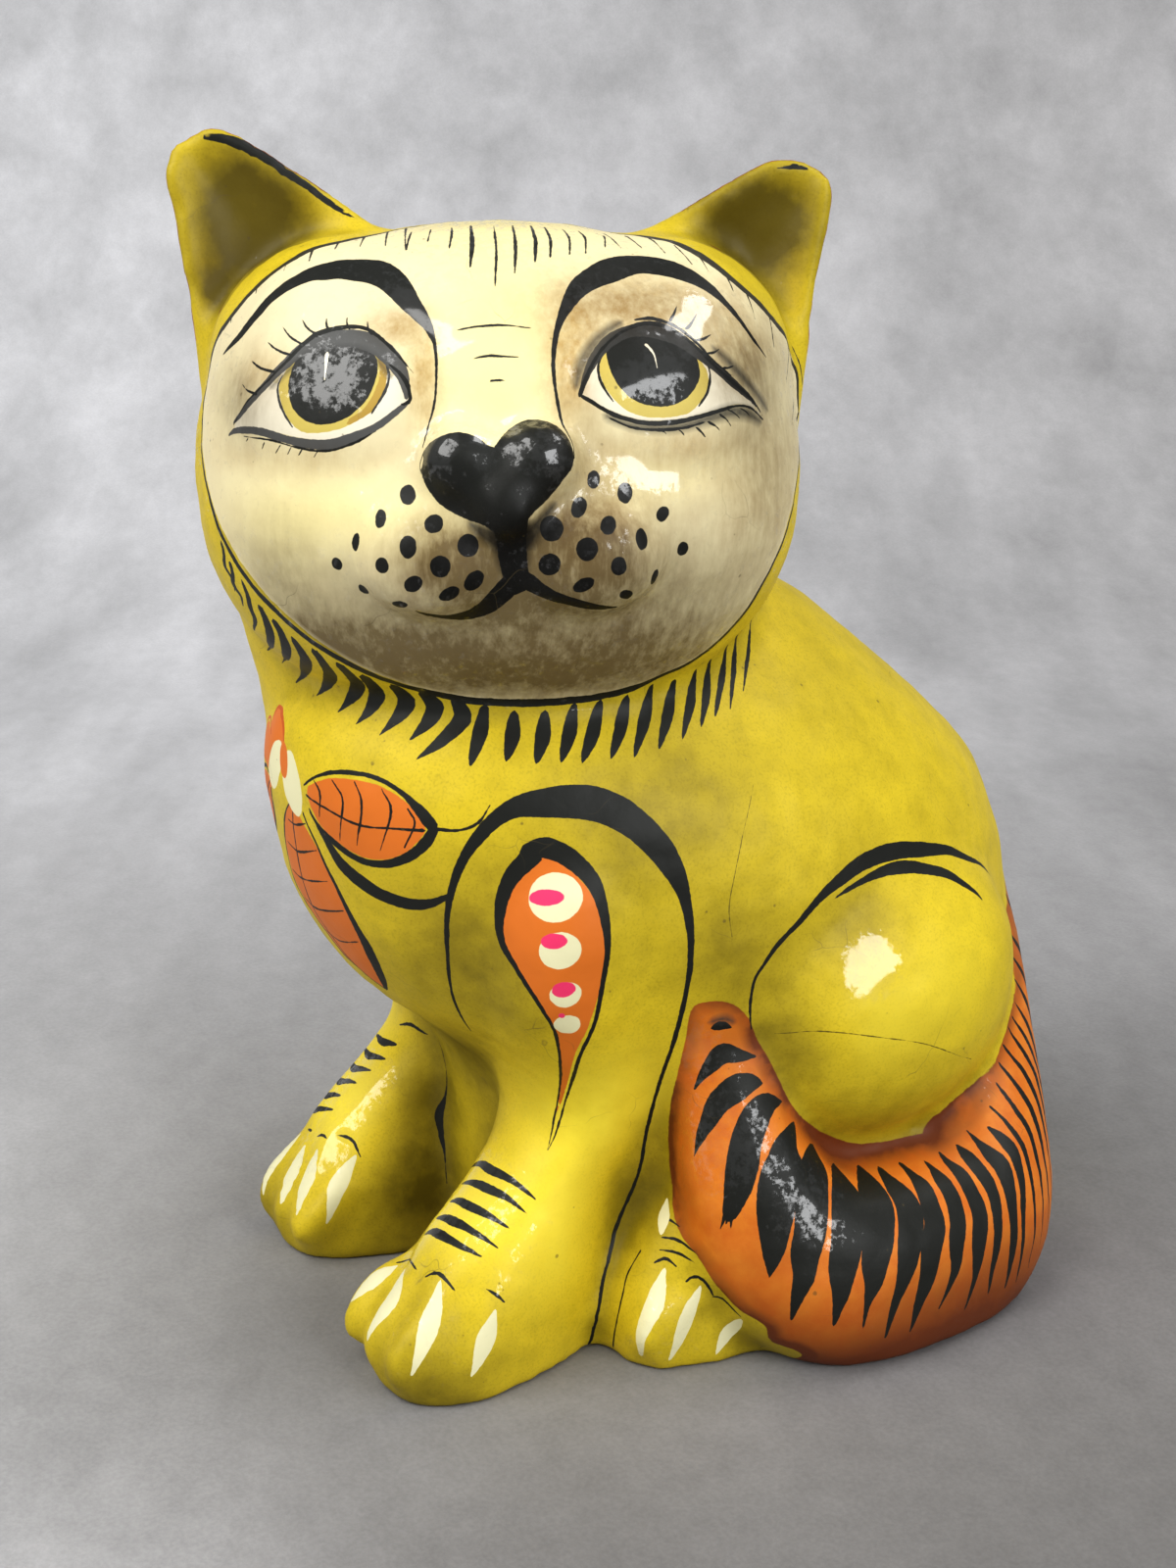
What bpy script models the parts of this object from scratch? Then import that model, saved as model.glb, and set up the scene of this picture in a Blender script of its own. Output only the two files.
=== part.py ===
"""A seated papier-mache cat with its head turned to its left: one moulded piece, as one closed solid.

Metres, +Z up. The cat sits on z = 0 and faces -Y, and its left side is +X. The sizes below are measured from a
point between its forelegs; the finished solid is moved so that the origin lies under the middle of its box.
The head has a frame of its own, at the head's middle: u runs across the face, v up it and w out of it.
"""

import math

import bmesh
import bpy
from mathutils import Matrix, Vector

# Head: an upright, squarish egg, turned to the left and tipped back a little.
HEAD_MIDDLE = Vector((0.005, -0.029, 0.2300))
HEAD_TURN = math.radians(62.5)
HEAD_TIP = math.radians(7)
HEAD_HALF = (0.0762, 0.0620, 0.062)
HEAD_SQUARENESS = 2.3

# Temples: they fill the head's upper corners, in front of the ears.
TEMPLE_MIDDLE = (0.0193, 0.0070)
TEMPLE_HALF = (0.061, 0.044, 0.061)
TEMPLE_TURN = math.radians(41)
TEMPLE_SHIFT = 0.0008

# Torso: level sections as (z, half width, front, back).
TORSO = [
    (-0.010, 0.063, -0.038, 0.116),
    (0.010, 0.067, -0.038, 0.120),
    (0.030, 0.070, -0.038, 0.124),
    (0.050, 0.072, -0.038, 0.128),
    (0.070, 0.074, -0.042, 0.131),
    (0.085, 0.075, -0.056, 0.131),
    (0.100, 0.076, -0.072, 0.130),
    (0.120, 0.077, -0.083, 0.126),
    (0.140, 0.075, -0.088, 0.117),
    (0.155, 0.070, -0.090, 0.104),
    (0.170, 0.060, -0.087, 0.087),
    (0.182, 0.047, -0.076, 0.073),
    (0.192, 0.035, -0.060, 0.060),
    (0.202, 0.022, -0.036, 0.042),
]
TORSO_SQUARENESS = 2.1

# Neck: level sections as (z, right side, left side, front, back), turned with the head.
NECK = [
    (0.130, -0.050, 0.050, -0.010, 0.040),
    (0.155, -0.061, 0.055, -0.022, 0.048),
    (0.175, -0.065, 0.058, -0.026, 0.048),
    (0.190, -0.068, 0.062, -0.029, 0.046),
    (0.205, -0.071, 0.067, -0.031, 0.044),
    (0.220, -0.071, 0.070, -0.030, 0.040),
    (0.240, -0.056, 0.056, -0.020, 0.028),
]

# Left foreleg and paw: level sections as (z, inner side, outer side, front, back).
FORELEG = [
    (-0.010, 0.019, 0.057, -0.080, -0.020),
    (0.000, 0.018, 0.058, -0.084, -0.020),
    (0.008, 0.017, 0.059, -0.086, -0.018),
    (0.016, 0.017, 0.059, -0.084, -0.016),
    (0.024, 0.018, 0.059, -0.079, -0.014),
    (0.032, 0.020, 0.058, -0.073, -0.012),
    (0.040, 0.022, 0.058, -0.065, -0.010),
    (0.048, 0.023, 0.058, -0.056, -0.008),
    (0.057, 0.023, 0.060, -0.047, -0.006),
    (0.067, 0.021, 0.063, -0.042, -0.005),
    (0.080, 0.019, 0.067, -0.045, -0.004),
    (0.094, 0.018, 0.071, -0.053, -0.002),
    (0.110, 0.020, 0.074, -0.060, 0.000),
    (0.130, 0.027, 0.074, -0.060, -0.006),
    (0.146, 0.036, 0.068, -0.052, -0.016),
    (0.158, 0.044, 0.056, -0.040, -0.028),
]
FORELEG_TURN = math.radians(14)

# The right forepaw is drawn back by this much, and the left one reaches a little further.
PAW_DRAWN_BACK = {-1: 0.0048, 1: -0.0022}
PAW_HEIGHT = 0.050

# Left hind foot, in the same terms.
HIND_FOOT = [
    (-0.010, 0.038, 0.075, -0.024, 0.030),
    (0.000, 0.039, 0.076, -0.026, 0.030),
    (0.012, 0.040, 0.077, -0.026, 0.030),
    (0.022, 0.042, 0.076, -0.023, 0.030),
    (0.032, 0.045, 0.075, -0.018, 0.028),
    (0.042, 0.048, 0.073, -0.011, 0.026),
    (0.052, 0.052, 0.070, -0.003, 0.022),
    (0.062, 0.056, 0.066, 0.005, 0.016),
]

HAUNCH_MIDDLE = Vector((0.047, 0.051, 0.091))
HAUNCH_HALF = (0.042, 0.052, 0.046)

# Tail, from the rump round the left side to its tip: (x, y, z, half thickness).
TAIL = [
    (-0.030, 0.104, 0.124, 0.012),
    (0.000, 0.112, 0.112, 0.017),
    (0.026, 0.104, 0.092, 0.020),
    (0.046, 0.094, 0.065, 0.023),
    (0.060, 0.086, 0.040, 0.026),
    (0.068, 0.077, 0.021, 0.029),
    (0.073, 0.052, 0.018, 0.029),
    (0.074, 0.030, 0.022, 0.028),
    (0.071, 0.015, 0.035, 0.024),
    (0.068, 0.007, 0.055, 0.018),
    (0.064, 0.004, 0.075, 0.013),
    (0.061, 0.002, 0.092, 0.010),
    (0.059, 0.003, 0.104, 0.007),
]
TAIL_SQUARENESS = 2.5

# Ear: rows from its root to its tip, as (outer edge, inner edge) across and up the face, on the cat's left.
EAR = [
    ((0.070, -0.010), (0.005, 0.0410)),
    ((0.0765, 0.012), (0.0268, 0.0546)),
    ((0.0790, 0.034), (0.0416, 0.0639)),
    ((0.0815, 0.052), (0.0528, 0.0698)),
    ((0.0835, 0.063), (0.0621, 0.0750)),
    ((0.0842, 0.070), (0.0684, 0.0776)),
    ((0.0825, 0.0745), (0.0727, 0.0786)),
]
EAR_SHIFT = 0.0015
EAR_STRETCH = (1.16, 1.0)

# From the frame above to one whose origin lies under the middle of the whole cat.
TO_MIDDLE = Vector((-0.0069, -0.0133, 0.0))

SHELL_VOXEL = 0.0022
RELIEF_VOXEL = 0.0016
TRIANGLES = 9300


def head_frame():
    """The matrix from the head's own (u, v, w) to the cat's axes."""
    turned = Matrix.Rotation(HEAD_TURN, 4, "Z")
    tipped = Matrix.Rotation(math.radians(90) - HEAD_TIP, 4, "X")
    return Matrix.Translation(HEAD_MIDDLE) @ turned @ tipped


HEAD = head_frame()


def face_depth(u, v):
    """How far out of the head's middle its bare surface lies, at (u, v) across the face."""
    n = HEAD_SQUARENESS
    left = 1 - abs(u / HEAD_HALF[0]) ** n - abs(v / HEAD_HALF[1]) ** n
    return HEAD_HALF[2] * max(left, 0.0) ** (1 / n)


def new_object(name, bm):
    bmesh.ops.recalc_face_normals(bm, faces=bm.faces)
    mesh = bpy.data.meshes.new(name)
    bm.to_mesh(mesh)
    bm.free()
    made = bpy.data.objects.new(name, mesh)
    bpy.context.scene.collection.objects.link(made)
    return made


def smooth_path(points, steps):
    """Points between the given ones, on a smooth path through them all (Catmull-Rom)."""
    padded = [points[0]] + list(points) + [points[-1]]
    path = []
    for a, b, c, d in zip(padded, padded[1:], padded[2:], padded[3:]):
        for step in range(steps):
            t = step / steps
            path.append(
                tuple(
                    q + 0.5 * t * (r - p + t * (2 * p - 5 * q + 4 * r - s + t * (3 * (q - r) + s - p)))
                    for p, q, r, s in zip(a, b, c, d)
                )
            )
    path.append(tuple(points[-1]))
    return path


def skin_over(name, rings):
    """A closed form over a stack of rings of points, with flat ends."""
    bm = bmesh.new()
    rings = [[bm.verts.new(point) for point in ring] for ring in rings]
    sides = len(rings[0])
    for lower, upper in zip(rings, rings[1:]):
        for k in range(sides):
            bm.faces.new((lower[k], lower[(k + 1) % sides], upper[(k + 1) % sides], upper[k]))
    bm.faces.new(rings[0])
    bm.faces.new(rings[-1])
    return new_object(name, bm)


def rounded(angle, squareness):
    """A point of an oval of half size 1; squareness over 2 fills out its corners."""
    c, s = math.cos(angle), math.sin(angle)
    reach = (abs(c) ** squareness + abs(s) ** squareness) ** (-1 / squareness)
    return c * reach, s * reach


def pillar(name, sections, squareness, place=None, sides=48):
    """A soft upright form through level sections: (z, one side, other side, front, back)."""
    rings = []
    for z, near, far, front, back in smooth_path(sections, 5):
        ring = []
        for k in range(sides):
            c, s = rounded(2 * math.pi * k / sides, squareness)
            x = (near + far) / 2 + c * (far - near) / 2
            y = (front + back) / 2 + s * (back - front) / 2
            ring.append((x, y, z))
        rings.append(ring)
    made = skin_over(name, rings)
    if place:
        made.data.transform(place)
    return made


def tube(name, points, squareness, sides=36):
    """A roundish form along a smooth path: (x, y, z, half thickness)."""
    path = smooth_path(points, 6)
    rings = []
    for i, (x, y, z, radius) in enumerate(path):
        ahead = Vector(path[min(i + 1, len(path) - 1)][:3])
        behind = Vector(path[max(i - 1, 0)][:3])
        along = (ahead - behind).normalized()
        out = Vector((x, y - 0.03, 0)).normalized()
        across = (out - along * out.dot(along)).normalized()
        other = along.cross(across)
        oval = [rounded(2 * math.pi * k / sides, squareness) for k in range(sides)]
        rings.append([Vector((x, y, z)) + (across * c + other * s) * radius for c, s in oval])
    return skin_over(name, rings)


def egg(name, middle, half, squareness=2.0, place=None):
    """A ball stretched to three half sizes."""
    bm = bmesh.new()
    bmesh.ops.create_uvsphere(bm, u_segments=48, v_segments=32, radius=1.0)
    for vertex in bm.verts:
        reach = sum(abs(c) ** squareness for c in vertex.co) ** (1 / squareness)
        vertex.co = Vector(middle) + Vector(c / reach * h for c, h in zip(vertex.co, half))
    if place:
        bm.transform(place)
    return new_object(name, bm)


def on_head(name, u, v, half, sunk=0.0, lean=1.0):
    """An egg on the face at (u, v), its middle that far below the bare surface. lean 1 sets it square to it."""
    n = HEAD_SQUARENESS
    w = face_depth(u, v)
    slope = [math.copysign(abs(c / h) ** (n - 1) / h, c) for c, h in zip((u, v, w), HEAD_HALF)]
    out = Vector((slope[0] * lean, slope[1] * lean, slope[2])).normalized()
    across = Vector((0, 1, 0)).cross(out).normalized()
    stand = Matrix((across, out.cross(across), out)).transposed().to_4x4()
    place = HEAD @ Matrix.Translation(Vector((u, v, w)) - out * sunk) @ stand
    return egg(name, (0, 0, 0), half, place=place)


def ear(name, side, stretch):
    """A blunt leaf with a hollow front, standing at the head's upper corner. side is -1 or 1."""
    rows = smooth_path([outer + inner for outer, inner in EAR], 4)
    sides = 32
    rings = []
    for number, (ou, ov, iu, iv) in enumerate(rows):
        t = number / (len(rows) - 1)
        ov, iv = (v + max(v - 0.030, 0.0) * (stretch - 1) for v in (ov, iv))
        middle = Vector(((ou + iu) / 2 * side + EAR_SHIFT, (ov + iv) / 2, -0.004))
        half = Vector(((ou - iu) / 2 * side, (ov - iv) / 2, 0))
        bulge = 0.007 + 0.013 * (1 - t)
        ring = []
        for k in range(sides):
            c, s = rounded(2 * math.pi * k / sides, 2.0)
            if s < 0:
                out = s * bulge
            else:
                out = 0.0035 * s - 0.85 * bulge * (1 - c * c) ** 1.5 + 0.003 * t
            ring.append(middle + half * c + Vector((0, 0, out)))
        rings.append(ring)
    made = skin_over(name, rings)
    made.data.transform(HEAD)
    return made


def melt(name, shapes, voxel, rounds):
    """One skin round all the shapes, with its inner corners softened."""
    bm = bmesh.new()
    for shape in shapes:
        bm.from_mesh(shape.data)
        bpy.data.objects.remove(shape)
    mesh = bpy.data.meshes.new(name)
    bm.to_mesh(mesh)
    bm.free()
    made = bpy.data.objects.new(name, mesh)
    bpy.context.scene.collection.objects.link(made)
    skin = made.modifiers.new("skin", "REMESH")
    skin.mode = "VOXEL"
    skin.voxel_size = voxel
    smooth = made.modifiers.new("soften", "SMOOTH")
    smooth.factor = 0.5
    smooth.iterations = rounds
    return worked_in(made)


def worked_in(made):
    """The object with its modifiers worked into its mesh."""
    graph = bpy.context.evaluated_depsgraph_get()
    mesh = bpy.data.meshes.new_from_object(made.evaluated_get(graph))
    made.modifiers.clear()
    made.data = mesh
    return made


def foreleg_sections(side):
    """The foreleg's sections, with the paw drawn back more the lower it is."""
    sections = []
    for z, inner, outer, front, back in FORELEG:
        low_down = min(max(1 - z / PAW_HEIGHT, 0.0) * 1.6, 1.0)
        sections.append((z, inner, outer, front + PAW_DRAWN_BACK[side] * low_down, back))
    return sections


def temple(name, side):
    """An egg that fills one upper corner of the head, its long way towards the corner."""
    middle = Matrix.Translation((side * TEMPLE_MIDDLE[0] + TEMPLE_SHIFT, TEMPLE_MIDDLE[1], 0))
    place = HEAD @ middle @ Matrix.Rotation(side * TEMPLE_TURN, 4, "Z")
    return egg(name, (0, 0, 0), TEMPLE_HALF, place=place)


def body_shapes():
    shapes = [
        pillar("torso", [(z, -wide, wide, front, back) for z, wide, front, back in TORSO], TORSO_SQUARENESS),
        pillar(
            "neck",
            NECK,
            2.1,
            Matrix.Translation((HEAD_MIDDLE.x, HEAD_MIDDLE.y, 0)) @ Matrix.Rotation(HEAD_TURN, 4, "Z"),
        ),
        egg("head", (0, 0, 0), HEAD_HALF, HEAD_SQUARENESS, HEAD),
        temple("right_temple", -1),
        temple("left_temple", 1),
        ear("right_ear", -1, EAR_STRETCH[0]),
        ear("left_ear", 1, EAR_STRETCH[1]),
        tube("tail", TAIL, TAIL_SQUARENESS),
    ]
    for side in (-1, 1):
        mirror = Matrix.Scale(side, 4, (1, 0, 0))
        hip = Matrix.Translation((0.038, -0.050, 0))
        turned = mirror @ hip @ Matrix.Rotation(FORELEG_TURN, 4, "Z") @ hip.inverted()
        shapes.append(pillar("foreleg", foreleg_sections(side), 2.5, turned))
        shapes.append(pillar("hind_foot", HIND_FOOT, 2.4, mirror))
        shapes.append(egg("haunch", mirror @ HAUNCH_MIDDLE, HAUNCH_HALF, 2.1))
    return shapes


def face_shapes():
    """The soft forms of the face, which melt into the head."""
    shapes = [
        on_head("muzzle", 0.001, -0.012, (0.040, 0.025, 0.014), 0.0085),
        on_head("chin", 0.001, -0.038, (0.024, 0.012, 0.010), 0.0080),
    ]
    for side in (-1, 1):
        shapes.append(on_head("eye", side * 0.0395, 0.021, (0.027, 0.020, 0.010), 0.0064))
        shapes.append(on_head("cheek", side * 0.044, -0.010, (0.028, 0.022, 0.012), 0.0103))
    return shapes


def paw_shapes():
    """Three soft toes on the front of each foot."""
    shapes = []
    lean = Matrix.Rotation(math.radians(42), 4, "X")
    steep = Matrix.Rotation(math.radians(62), 4, "X")
    for side in (-1, 1):
        for x in (0.0265, 0.0385, 0.0505):
            place = Matrix.Translation((side * x, -0.0765 + PAW_DRAWN_BACK[side], 0.0165)) @ lean
            shapes.append(egg("toe", (0, 0, 0), (0.0062, 0.0150, 0.0080), place=place))
        for x in (0.0555, 0.0635, 0.0715):
            place = Matrix.Translation((side * x, -0.0185, 0.0140)) @ steep
            shapes.append(egg("toe", (0, 0, 0), (0.0045, 0.0120, 0.0070), place=place))
    return shapes


def sharp_shapes():
    """The heart-shaped nose and the two pads of the muzzle, which stay crisper."""
    shapes = [on_head("nose_tip", 0.001, -0.0030, (0.0092, 0.0098, 0.0100), -0.0030, 0.0)]
    for side in (-1, 1):
        shapes.append(on_head("nose_lobe", side * 0.0085, 0.0055, (0.0096, 0.0092, 0.0090), -0.0025, 0.0))
        shapes.append(on_head("pad", 0.002 + side * 0.018, -0.0165, (0.018, 0.014, 0.011), 0.0005, 0.6))
    return shapes


def flat_base(made):
    """Cuts the solid level at z = 0 and closes it with one flat face."""
    bm = bmesh.new()
    bm.from_mesh(made.data)
    for vertex in bm.verts:
        if abs(vertex.co.z) < 0.0004:
            vertex.co.z = 0.0
    everything = bm.verts[:] + bm.edges[:] + bm.faces[:]
    cut = bmesh.ops.bisect_plane(
        bm, geom=everything, dist=0.000001, plane_co=(0, 0, 0), plane_no=(0, 0, 1), clear_inner=True
    )
    bmesh.ops.remove_doubles(
        bm, verts=[v for v in cut["geom_cut"] if isinstance(v, bmesh.types.BMVert)], dist=0.0005
    )
    bmesh.ops.holes_fill(bm, edges=[e for e in bm.edges if e.is_boundary], sides=0)
    bmesh.ops.triangulate(bm, faces=bm.faces)
    bmesh.ops.recalc_face_normals(bm, faces=bm.faces)
    bm.to_mesh(made.data)
    bm.free()


def thin_out(made, triangles):
    """Fewer triangles, with the small ones kept where the form turns."""
    thin = made.modifiers.new("thin", "DECIMATE")
    thin.ratio = triangles / (2 * len(made.data.polygons))
    thin.use_collapse_triangulate = True
    return worked_in(made)


def lacquered_paint():
    paint = bpy.data.materials.new("lacquered_paint")
    paint.use_nodes = True
    shader = paint.node_tree.nodes["Principled BSDF"]
    shader.inputs["Base Color"].default_value = (0.62, 0.50, 0.03, 1)
    shader.inputs["Roughness"].default_value = 0.22
    shader.inputs["Metallic"].default_value = 0.0
    return paint


def build_cat():
    for thing in list(bpy.data.objects):
        bpy.data.objects.remove(thing)
    soft = melt("soft", body_shapes() + face_shapes() + paw_shapes(), SHELL_VOXEL, 9)
    cat = melt("cat", [soft] + sharp_shapes(), RELIEF_VOXEL, 4)
    cat = thin_out(cat, TRIANGLES)
    flat_base(cat)
    cat.data.transform(Matrix.Translation(TO_MIDDLE))
    cat.data.name = "cat"
    cat.data.materials.append(lacquered_paint())
    cat.data.shade_smooth()
    return cat


build_cat()
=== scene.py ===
import math

import bpy
import numpy as np
from mathutils import Matrix, Vector, kdtree
from mathutils.bvhtree import BVHTree


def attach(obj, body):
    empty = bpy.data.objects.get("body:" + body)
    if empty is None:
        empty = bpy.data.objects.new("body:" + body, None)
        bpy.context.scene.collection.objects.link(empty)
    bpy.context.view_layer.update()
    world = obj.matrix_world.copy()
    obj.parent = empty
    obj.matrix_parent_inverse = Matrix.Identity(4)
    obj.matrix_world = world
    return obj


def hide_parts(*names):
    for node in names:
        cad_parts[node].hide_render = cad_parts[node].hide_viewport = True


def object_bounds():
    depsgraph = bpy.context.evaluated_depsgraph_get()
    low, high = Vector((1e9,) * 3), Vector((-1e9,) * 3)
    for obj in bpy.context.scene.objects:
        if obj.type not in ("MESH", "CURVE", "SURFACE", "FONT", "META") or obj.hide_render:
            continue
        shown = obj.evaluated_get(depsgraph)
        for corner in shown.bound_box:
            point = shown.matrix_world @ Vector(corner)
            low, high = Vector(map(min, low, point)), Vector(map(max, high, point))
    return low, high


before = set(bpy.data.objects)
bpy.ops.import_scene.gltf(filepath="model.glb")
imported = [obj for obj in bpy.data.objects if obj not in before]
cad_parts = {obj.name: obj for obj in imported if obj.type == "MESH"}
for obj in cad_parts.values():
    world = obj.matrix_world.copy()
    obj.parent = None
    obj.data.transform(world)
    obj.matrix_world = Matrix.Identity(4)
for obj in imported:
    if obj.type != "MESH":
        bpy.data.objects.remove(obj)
cad_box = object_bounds()
bpy.ops.object.select_all(action="DESELECT")

# ---- The light ---------------------------------------------------------------------------------
# A large softbox stands high on the side of the cat's right cheek, like a window, and two smaller
# ones stand before and behind it. The room round them is softly lit.

sitting_point = Vector((-0.0069, -0.0133, 0.14))
viewing_distance = 0.62
looking_from = Vector((0.8236, -0.4755, 0.3090))

camera_data = bpy.data.cameras.new("camera")
camera_data.lens = 51.75
camera = bpy.data.objects.new("camera", camera_data)
camera.location = sitting_point + viewing_distance * looking_from
camera.rotation_euler = (-looking_from).to_track_quat("-Z", "Y").to_euler()
bpy.context.collection.objects.link(camera)
bpy.context.scene.camera = camera


def softbox(name, place, width, height, watts, colour=(1.0, 1.0, 1.0)):
    """A flat lamp turned to the cat, itself out of sight."""
    light = bpy.data.lights.new(name, "AREA")
    light.shape = "RECTANGLE"
    light.size = width
    light.size_y = height
    light.energy = watts
    light.color = colour
    lamp = bpy.data.objects.new(name, light)
    lamp.location = Vector(place)
    lamp.rotation_euler = (sitting_point - lamp.location).to_track_quat("-Z", "Y").to_euler()
    lamp.visible_camera = False
    bpy.context.collection.objects.link(lamp)


softbox("window", (0.13, -1.28, 1.47), 1.5, 1.7, 30, (1.0, 0.99, 0.97))
softbox("front_light", (1.47, 0.32, 0.72), 0.85, 1.12, 15, (0.98, 0.99, 1.0))
softbox("back_light", (0.31, 0.97, 1.73), 0.8, 0.7, 9)

room = bpy.data.worlds.new("room")
room.use_nodes = True
room_light = room.node_tree.nodes["Background"]
room_light.inputs["Color"].default_value = (0.9, 0.92, 0.95, 1)
room_light.inputs["Strength"].default_value = 0.25
bpy.context.scene.world = room
bpy.context.scene.view_settings.view_transform = "Standard"
bpy.context.scene.view_settings.look = "Medium High Contrast"


# ---- The cloth ---------------------------------------------------------------------------------
# Grey pressed felt, laid under the cat and drawn up behind it in a wide curve. Handling has left
# paler and darker drifts in its pile. Shade is painted into it: darkest close round the cat, less
# so before its chest on the left, and darker on the tail's side.

cloth_in_front = 1.5
cloth_length = 3.6
cloth_bend = 0.6

bpy.ops.mesh.primitive_grid_add(x_subdivisions=60, y_subdivisions=12, size=1)
cloth = bpy.context.object
cloth.name = "cloth"
for vertex in cloth.data.vertices:
    forward = cloth_in_front - cloth_length * (vertex.co.x + 0.5)
    beyond = max(-forward - cloth_bend, 0.0)
    turned = min(beyond / cloth_bend, math.pi / 2)
    rise = cloth_bend * (1 - math.cos(turned)) + max(beyond - cloth_bend * math.pi / 2, 0.0)
    run = max(forward, -cloth_bend) - cloth_bend * math.sin(turned)
    vertex.co = (run * 0.866 - vertex.co.y * 1.8, -run * 0.5 - vertex.co.y * 3.1, rise)
bpy.ops.object.shade_smooth()


class Wire:
    """A shader socket that can be used in sums."""

    tree = None

    def __init__(self, socket):
        self.socket = socket

    @staticmethod
    def make(kind, settings=None, outlet=0, **sockets):
        """Adds a node: its kind, its settings, then its sockets by name, or by number as i0, i1."""
        node = Wire.tree.nodes.new("ShaderNode" + kind)
        for name, value in (settings or {}).items():
            setattr(node, name, value)
        for name, value in sockets.items():
            numbered = name[0] == "i" and name[1:].isdigit()
            place = node.inputs[int(name[1:]) if numbered else name.replace("_", " ")]
            if isinstance(value, Wire):
                Wire.tree.links.new(value.socket, place)
            else:
                place.default_value = value
        return Wire(node.outputs[outlet])

    @staticmethod
    def sum(kind, first, second):
        return Wire.make("Math", {"operation": kind}, i0=first, i1=second)

    def __add__(self, other):
        return Wire.sum("ADD", self, other)

    def __radd__(self, other):
        return Wire.sum("ADD", other, self)

    def __sub__(self, other):
        return Wire.sum("SUBTRACT", self, other)

    def __rsub__(self, other):
        return Wire.sum("SUBTRACT", other, self)

    def __mul__(self, other):
        return Wire.sum("MULTIPLY", self, other)

    def __rmul__(self, other):
        return Wire.sum("MULTIPLY", other, self)

    def __truediv__(self, other):
        return Wire.sum("DIVIDE", self, other)


def clamped(value):
    return Wire.make("Clamp", i0=value)


def mixed(amount, under, over, blend="MIX"):
    settings = {"data_type": "RGBA", "blend_type": blend}
    return Wire.make("Mix", settings, outlet=2, i0=amount, i6=under, i7=over)


def noise(place, scale, detail=2.0, roughness=0.5, colour=False):
    sockets = {"Vector": place, "Scale": scale, "Detail": detail, "Roughness": roughness}
    return Wire.make("TexNoise", outlet=1 if colour else 0, **sockets)


def far_along(place, direction):
    """How far a place lies in a direction."""
    return Wire.make("VectorMath", {"operation": "DOT_PRODUCT"}, outlet=1, i0=place, i1=direction)


def new_material(name):
    material = bpy.data.materials.new(name)
    material.use_nodes = True
    Wire.tree = material.node_tree
    return material, material.node_tree.nodes["Principled BSDF"]


def plug(shader, **sockets):
    """Sets a shader's own sockets, or links them where a wire is given."""
    for name, value in sockets.items():
        place = shader.inputs[name.replace("_", " ")]
        if isinstance(value, Wire):
            Wire.tree.links.new(value.socket, place)
        else:
            place.default_value = value


FELT_DARK = (0.475, 0.475, 0.485, 1)
FELT_PALE = (0.72, 0.72, 0.74, 1)
FELT_IN_PAINTED_SHADE = (0.195, 0.19, 0.185, 1)
FELT_SHADE_MULTIPLIER = (0.72, 0.71, 0.70, 1)
PILE_GREY = (0.5, 0.5, 0.5, 1)

felt, felt_shader = new_material("grey_felt")
on_cloth = Wire.make("TexCoord", outlet=3)
drawn_out = Wire.make("CombineXYZ", X=far_along(on_cloth, (-0.35, 0.2, 0)),
                      Y=far_along(on_cloth, (0.5, 0.866, 0)), Z=far_along(on_cloth, (0, 0, 1)))
drift = noise(drawn_out, 5.0, 4.0, 0.6) * 0.45 + noise(drawn_out, 14.0, 4.0, 0.65) * 0.7
painted_shade_near_cat = clamped(0.75 - far_along(on_cloth, (-1.5, 0.55, 1.1)))
before_chest = far_along(on_cloth, (-0.3, -2.0, 0))
painted_shade_tail_side = clamped(0.55 - far_along(on_cloth, (-0.7, -1.2, 0)))
pile = clamped(noise(on_cloth, 650.0, 3.0, 0.7) * 4 - 1.5) * 0.5
pile = pile + clamped(noise(on_cloth, 90.0, 4.0, 0.7) * 3 - 1) * 0.5
felt_colour = mixed(clamped(drift * 2.8 - 1.08), FELT_DARK, FELT_PALE)
# Painted shade: the felt darkens close round the cat, less before its chest, and on the tail's side.
felt_colour = mixed(painted_shade_near_cat * (0.78 - 0.6 * clamped(before_chest * 5 - 1.1)), felt_colour, FELT_IN_PAINTED_SHADE)
felt_colour = mixed(painted_shade_near_cat * clamped(1.44 - before_chest * 4) * 0.45, felt_colour, FELT_SHADE_MULTIPLIER,
                    "MULTIPLY")
felt_colour = mixed(painted_shade_tail_side, felt_colour, FELT_SHADE_MULTIPLIER, "MULTIPLY")
felt_colour = mixed(pile * (0.26 + 0.16 * painted_shade_near_cat), felt_colour, PILE_GREY, "MULTIPLY")
plug(felt_shader, Base_Color=felt_colour, Roughness=0.9)
cloth.data.materials.append(felt)


# ---- The shell ---------------------------------------------------------------------------------
# Pasted paper over a mould, rubbed smooth with chalk ground. The solid's surface is drawn out
# finer here, so that the hand's small unevenness can show.

SHELL_GRAIN = 0.00172
MM = 0.001


def apply(piece, kind, **settings):
    """Puts one modifier on a piece and applies it."""
    bpy.context.view_layer.objects.active = piece
    piece.select_set(True)
    modifier = piece.modifiers.new(kind.lower(), kind)
    for name, value in settings.items():
        setattr(modifier, name, value)
    bpy.ops.object.modifier_apply(modifier=modifier.name)


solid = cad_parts["cat"]
shell = bpy.data.objects.new("painted_cat", solid.data.copy())
shell.matrix_world = solid.matrix_world
bpy.context.collection.objects.link(shell)
bpy.context.view_layer.objects.active = shell
shell.select_set(True)
bpy.ops.object.mode_set(mode="EDIT")
bpy.ops.mesh.select_all(action="SELECT")
bpy.ops.mesh.remove_doubles(threshold=0.00001)
bpy.ops.object.mode_set(mode="OBJECT")
apply(shell, "REMESH", mode="VOXEL", voxel_size=SHELL_GRAIN, use_smooth_shade=True)
for _ in range(12):
    apply(shell, "SMOOTH", factor=1.0, iterations=6)
    apply(shell, "SMOOTH", factor=-1.0, iterations=6)
shell.data.materials.clear()

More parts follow.
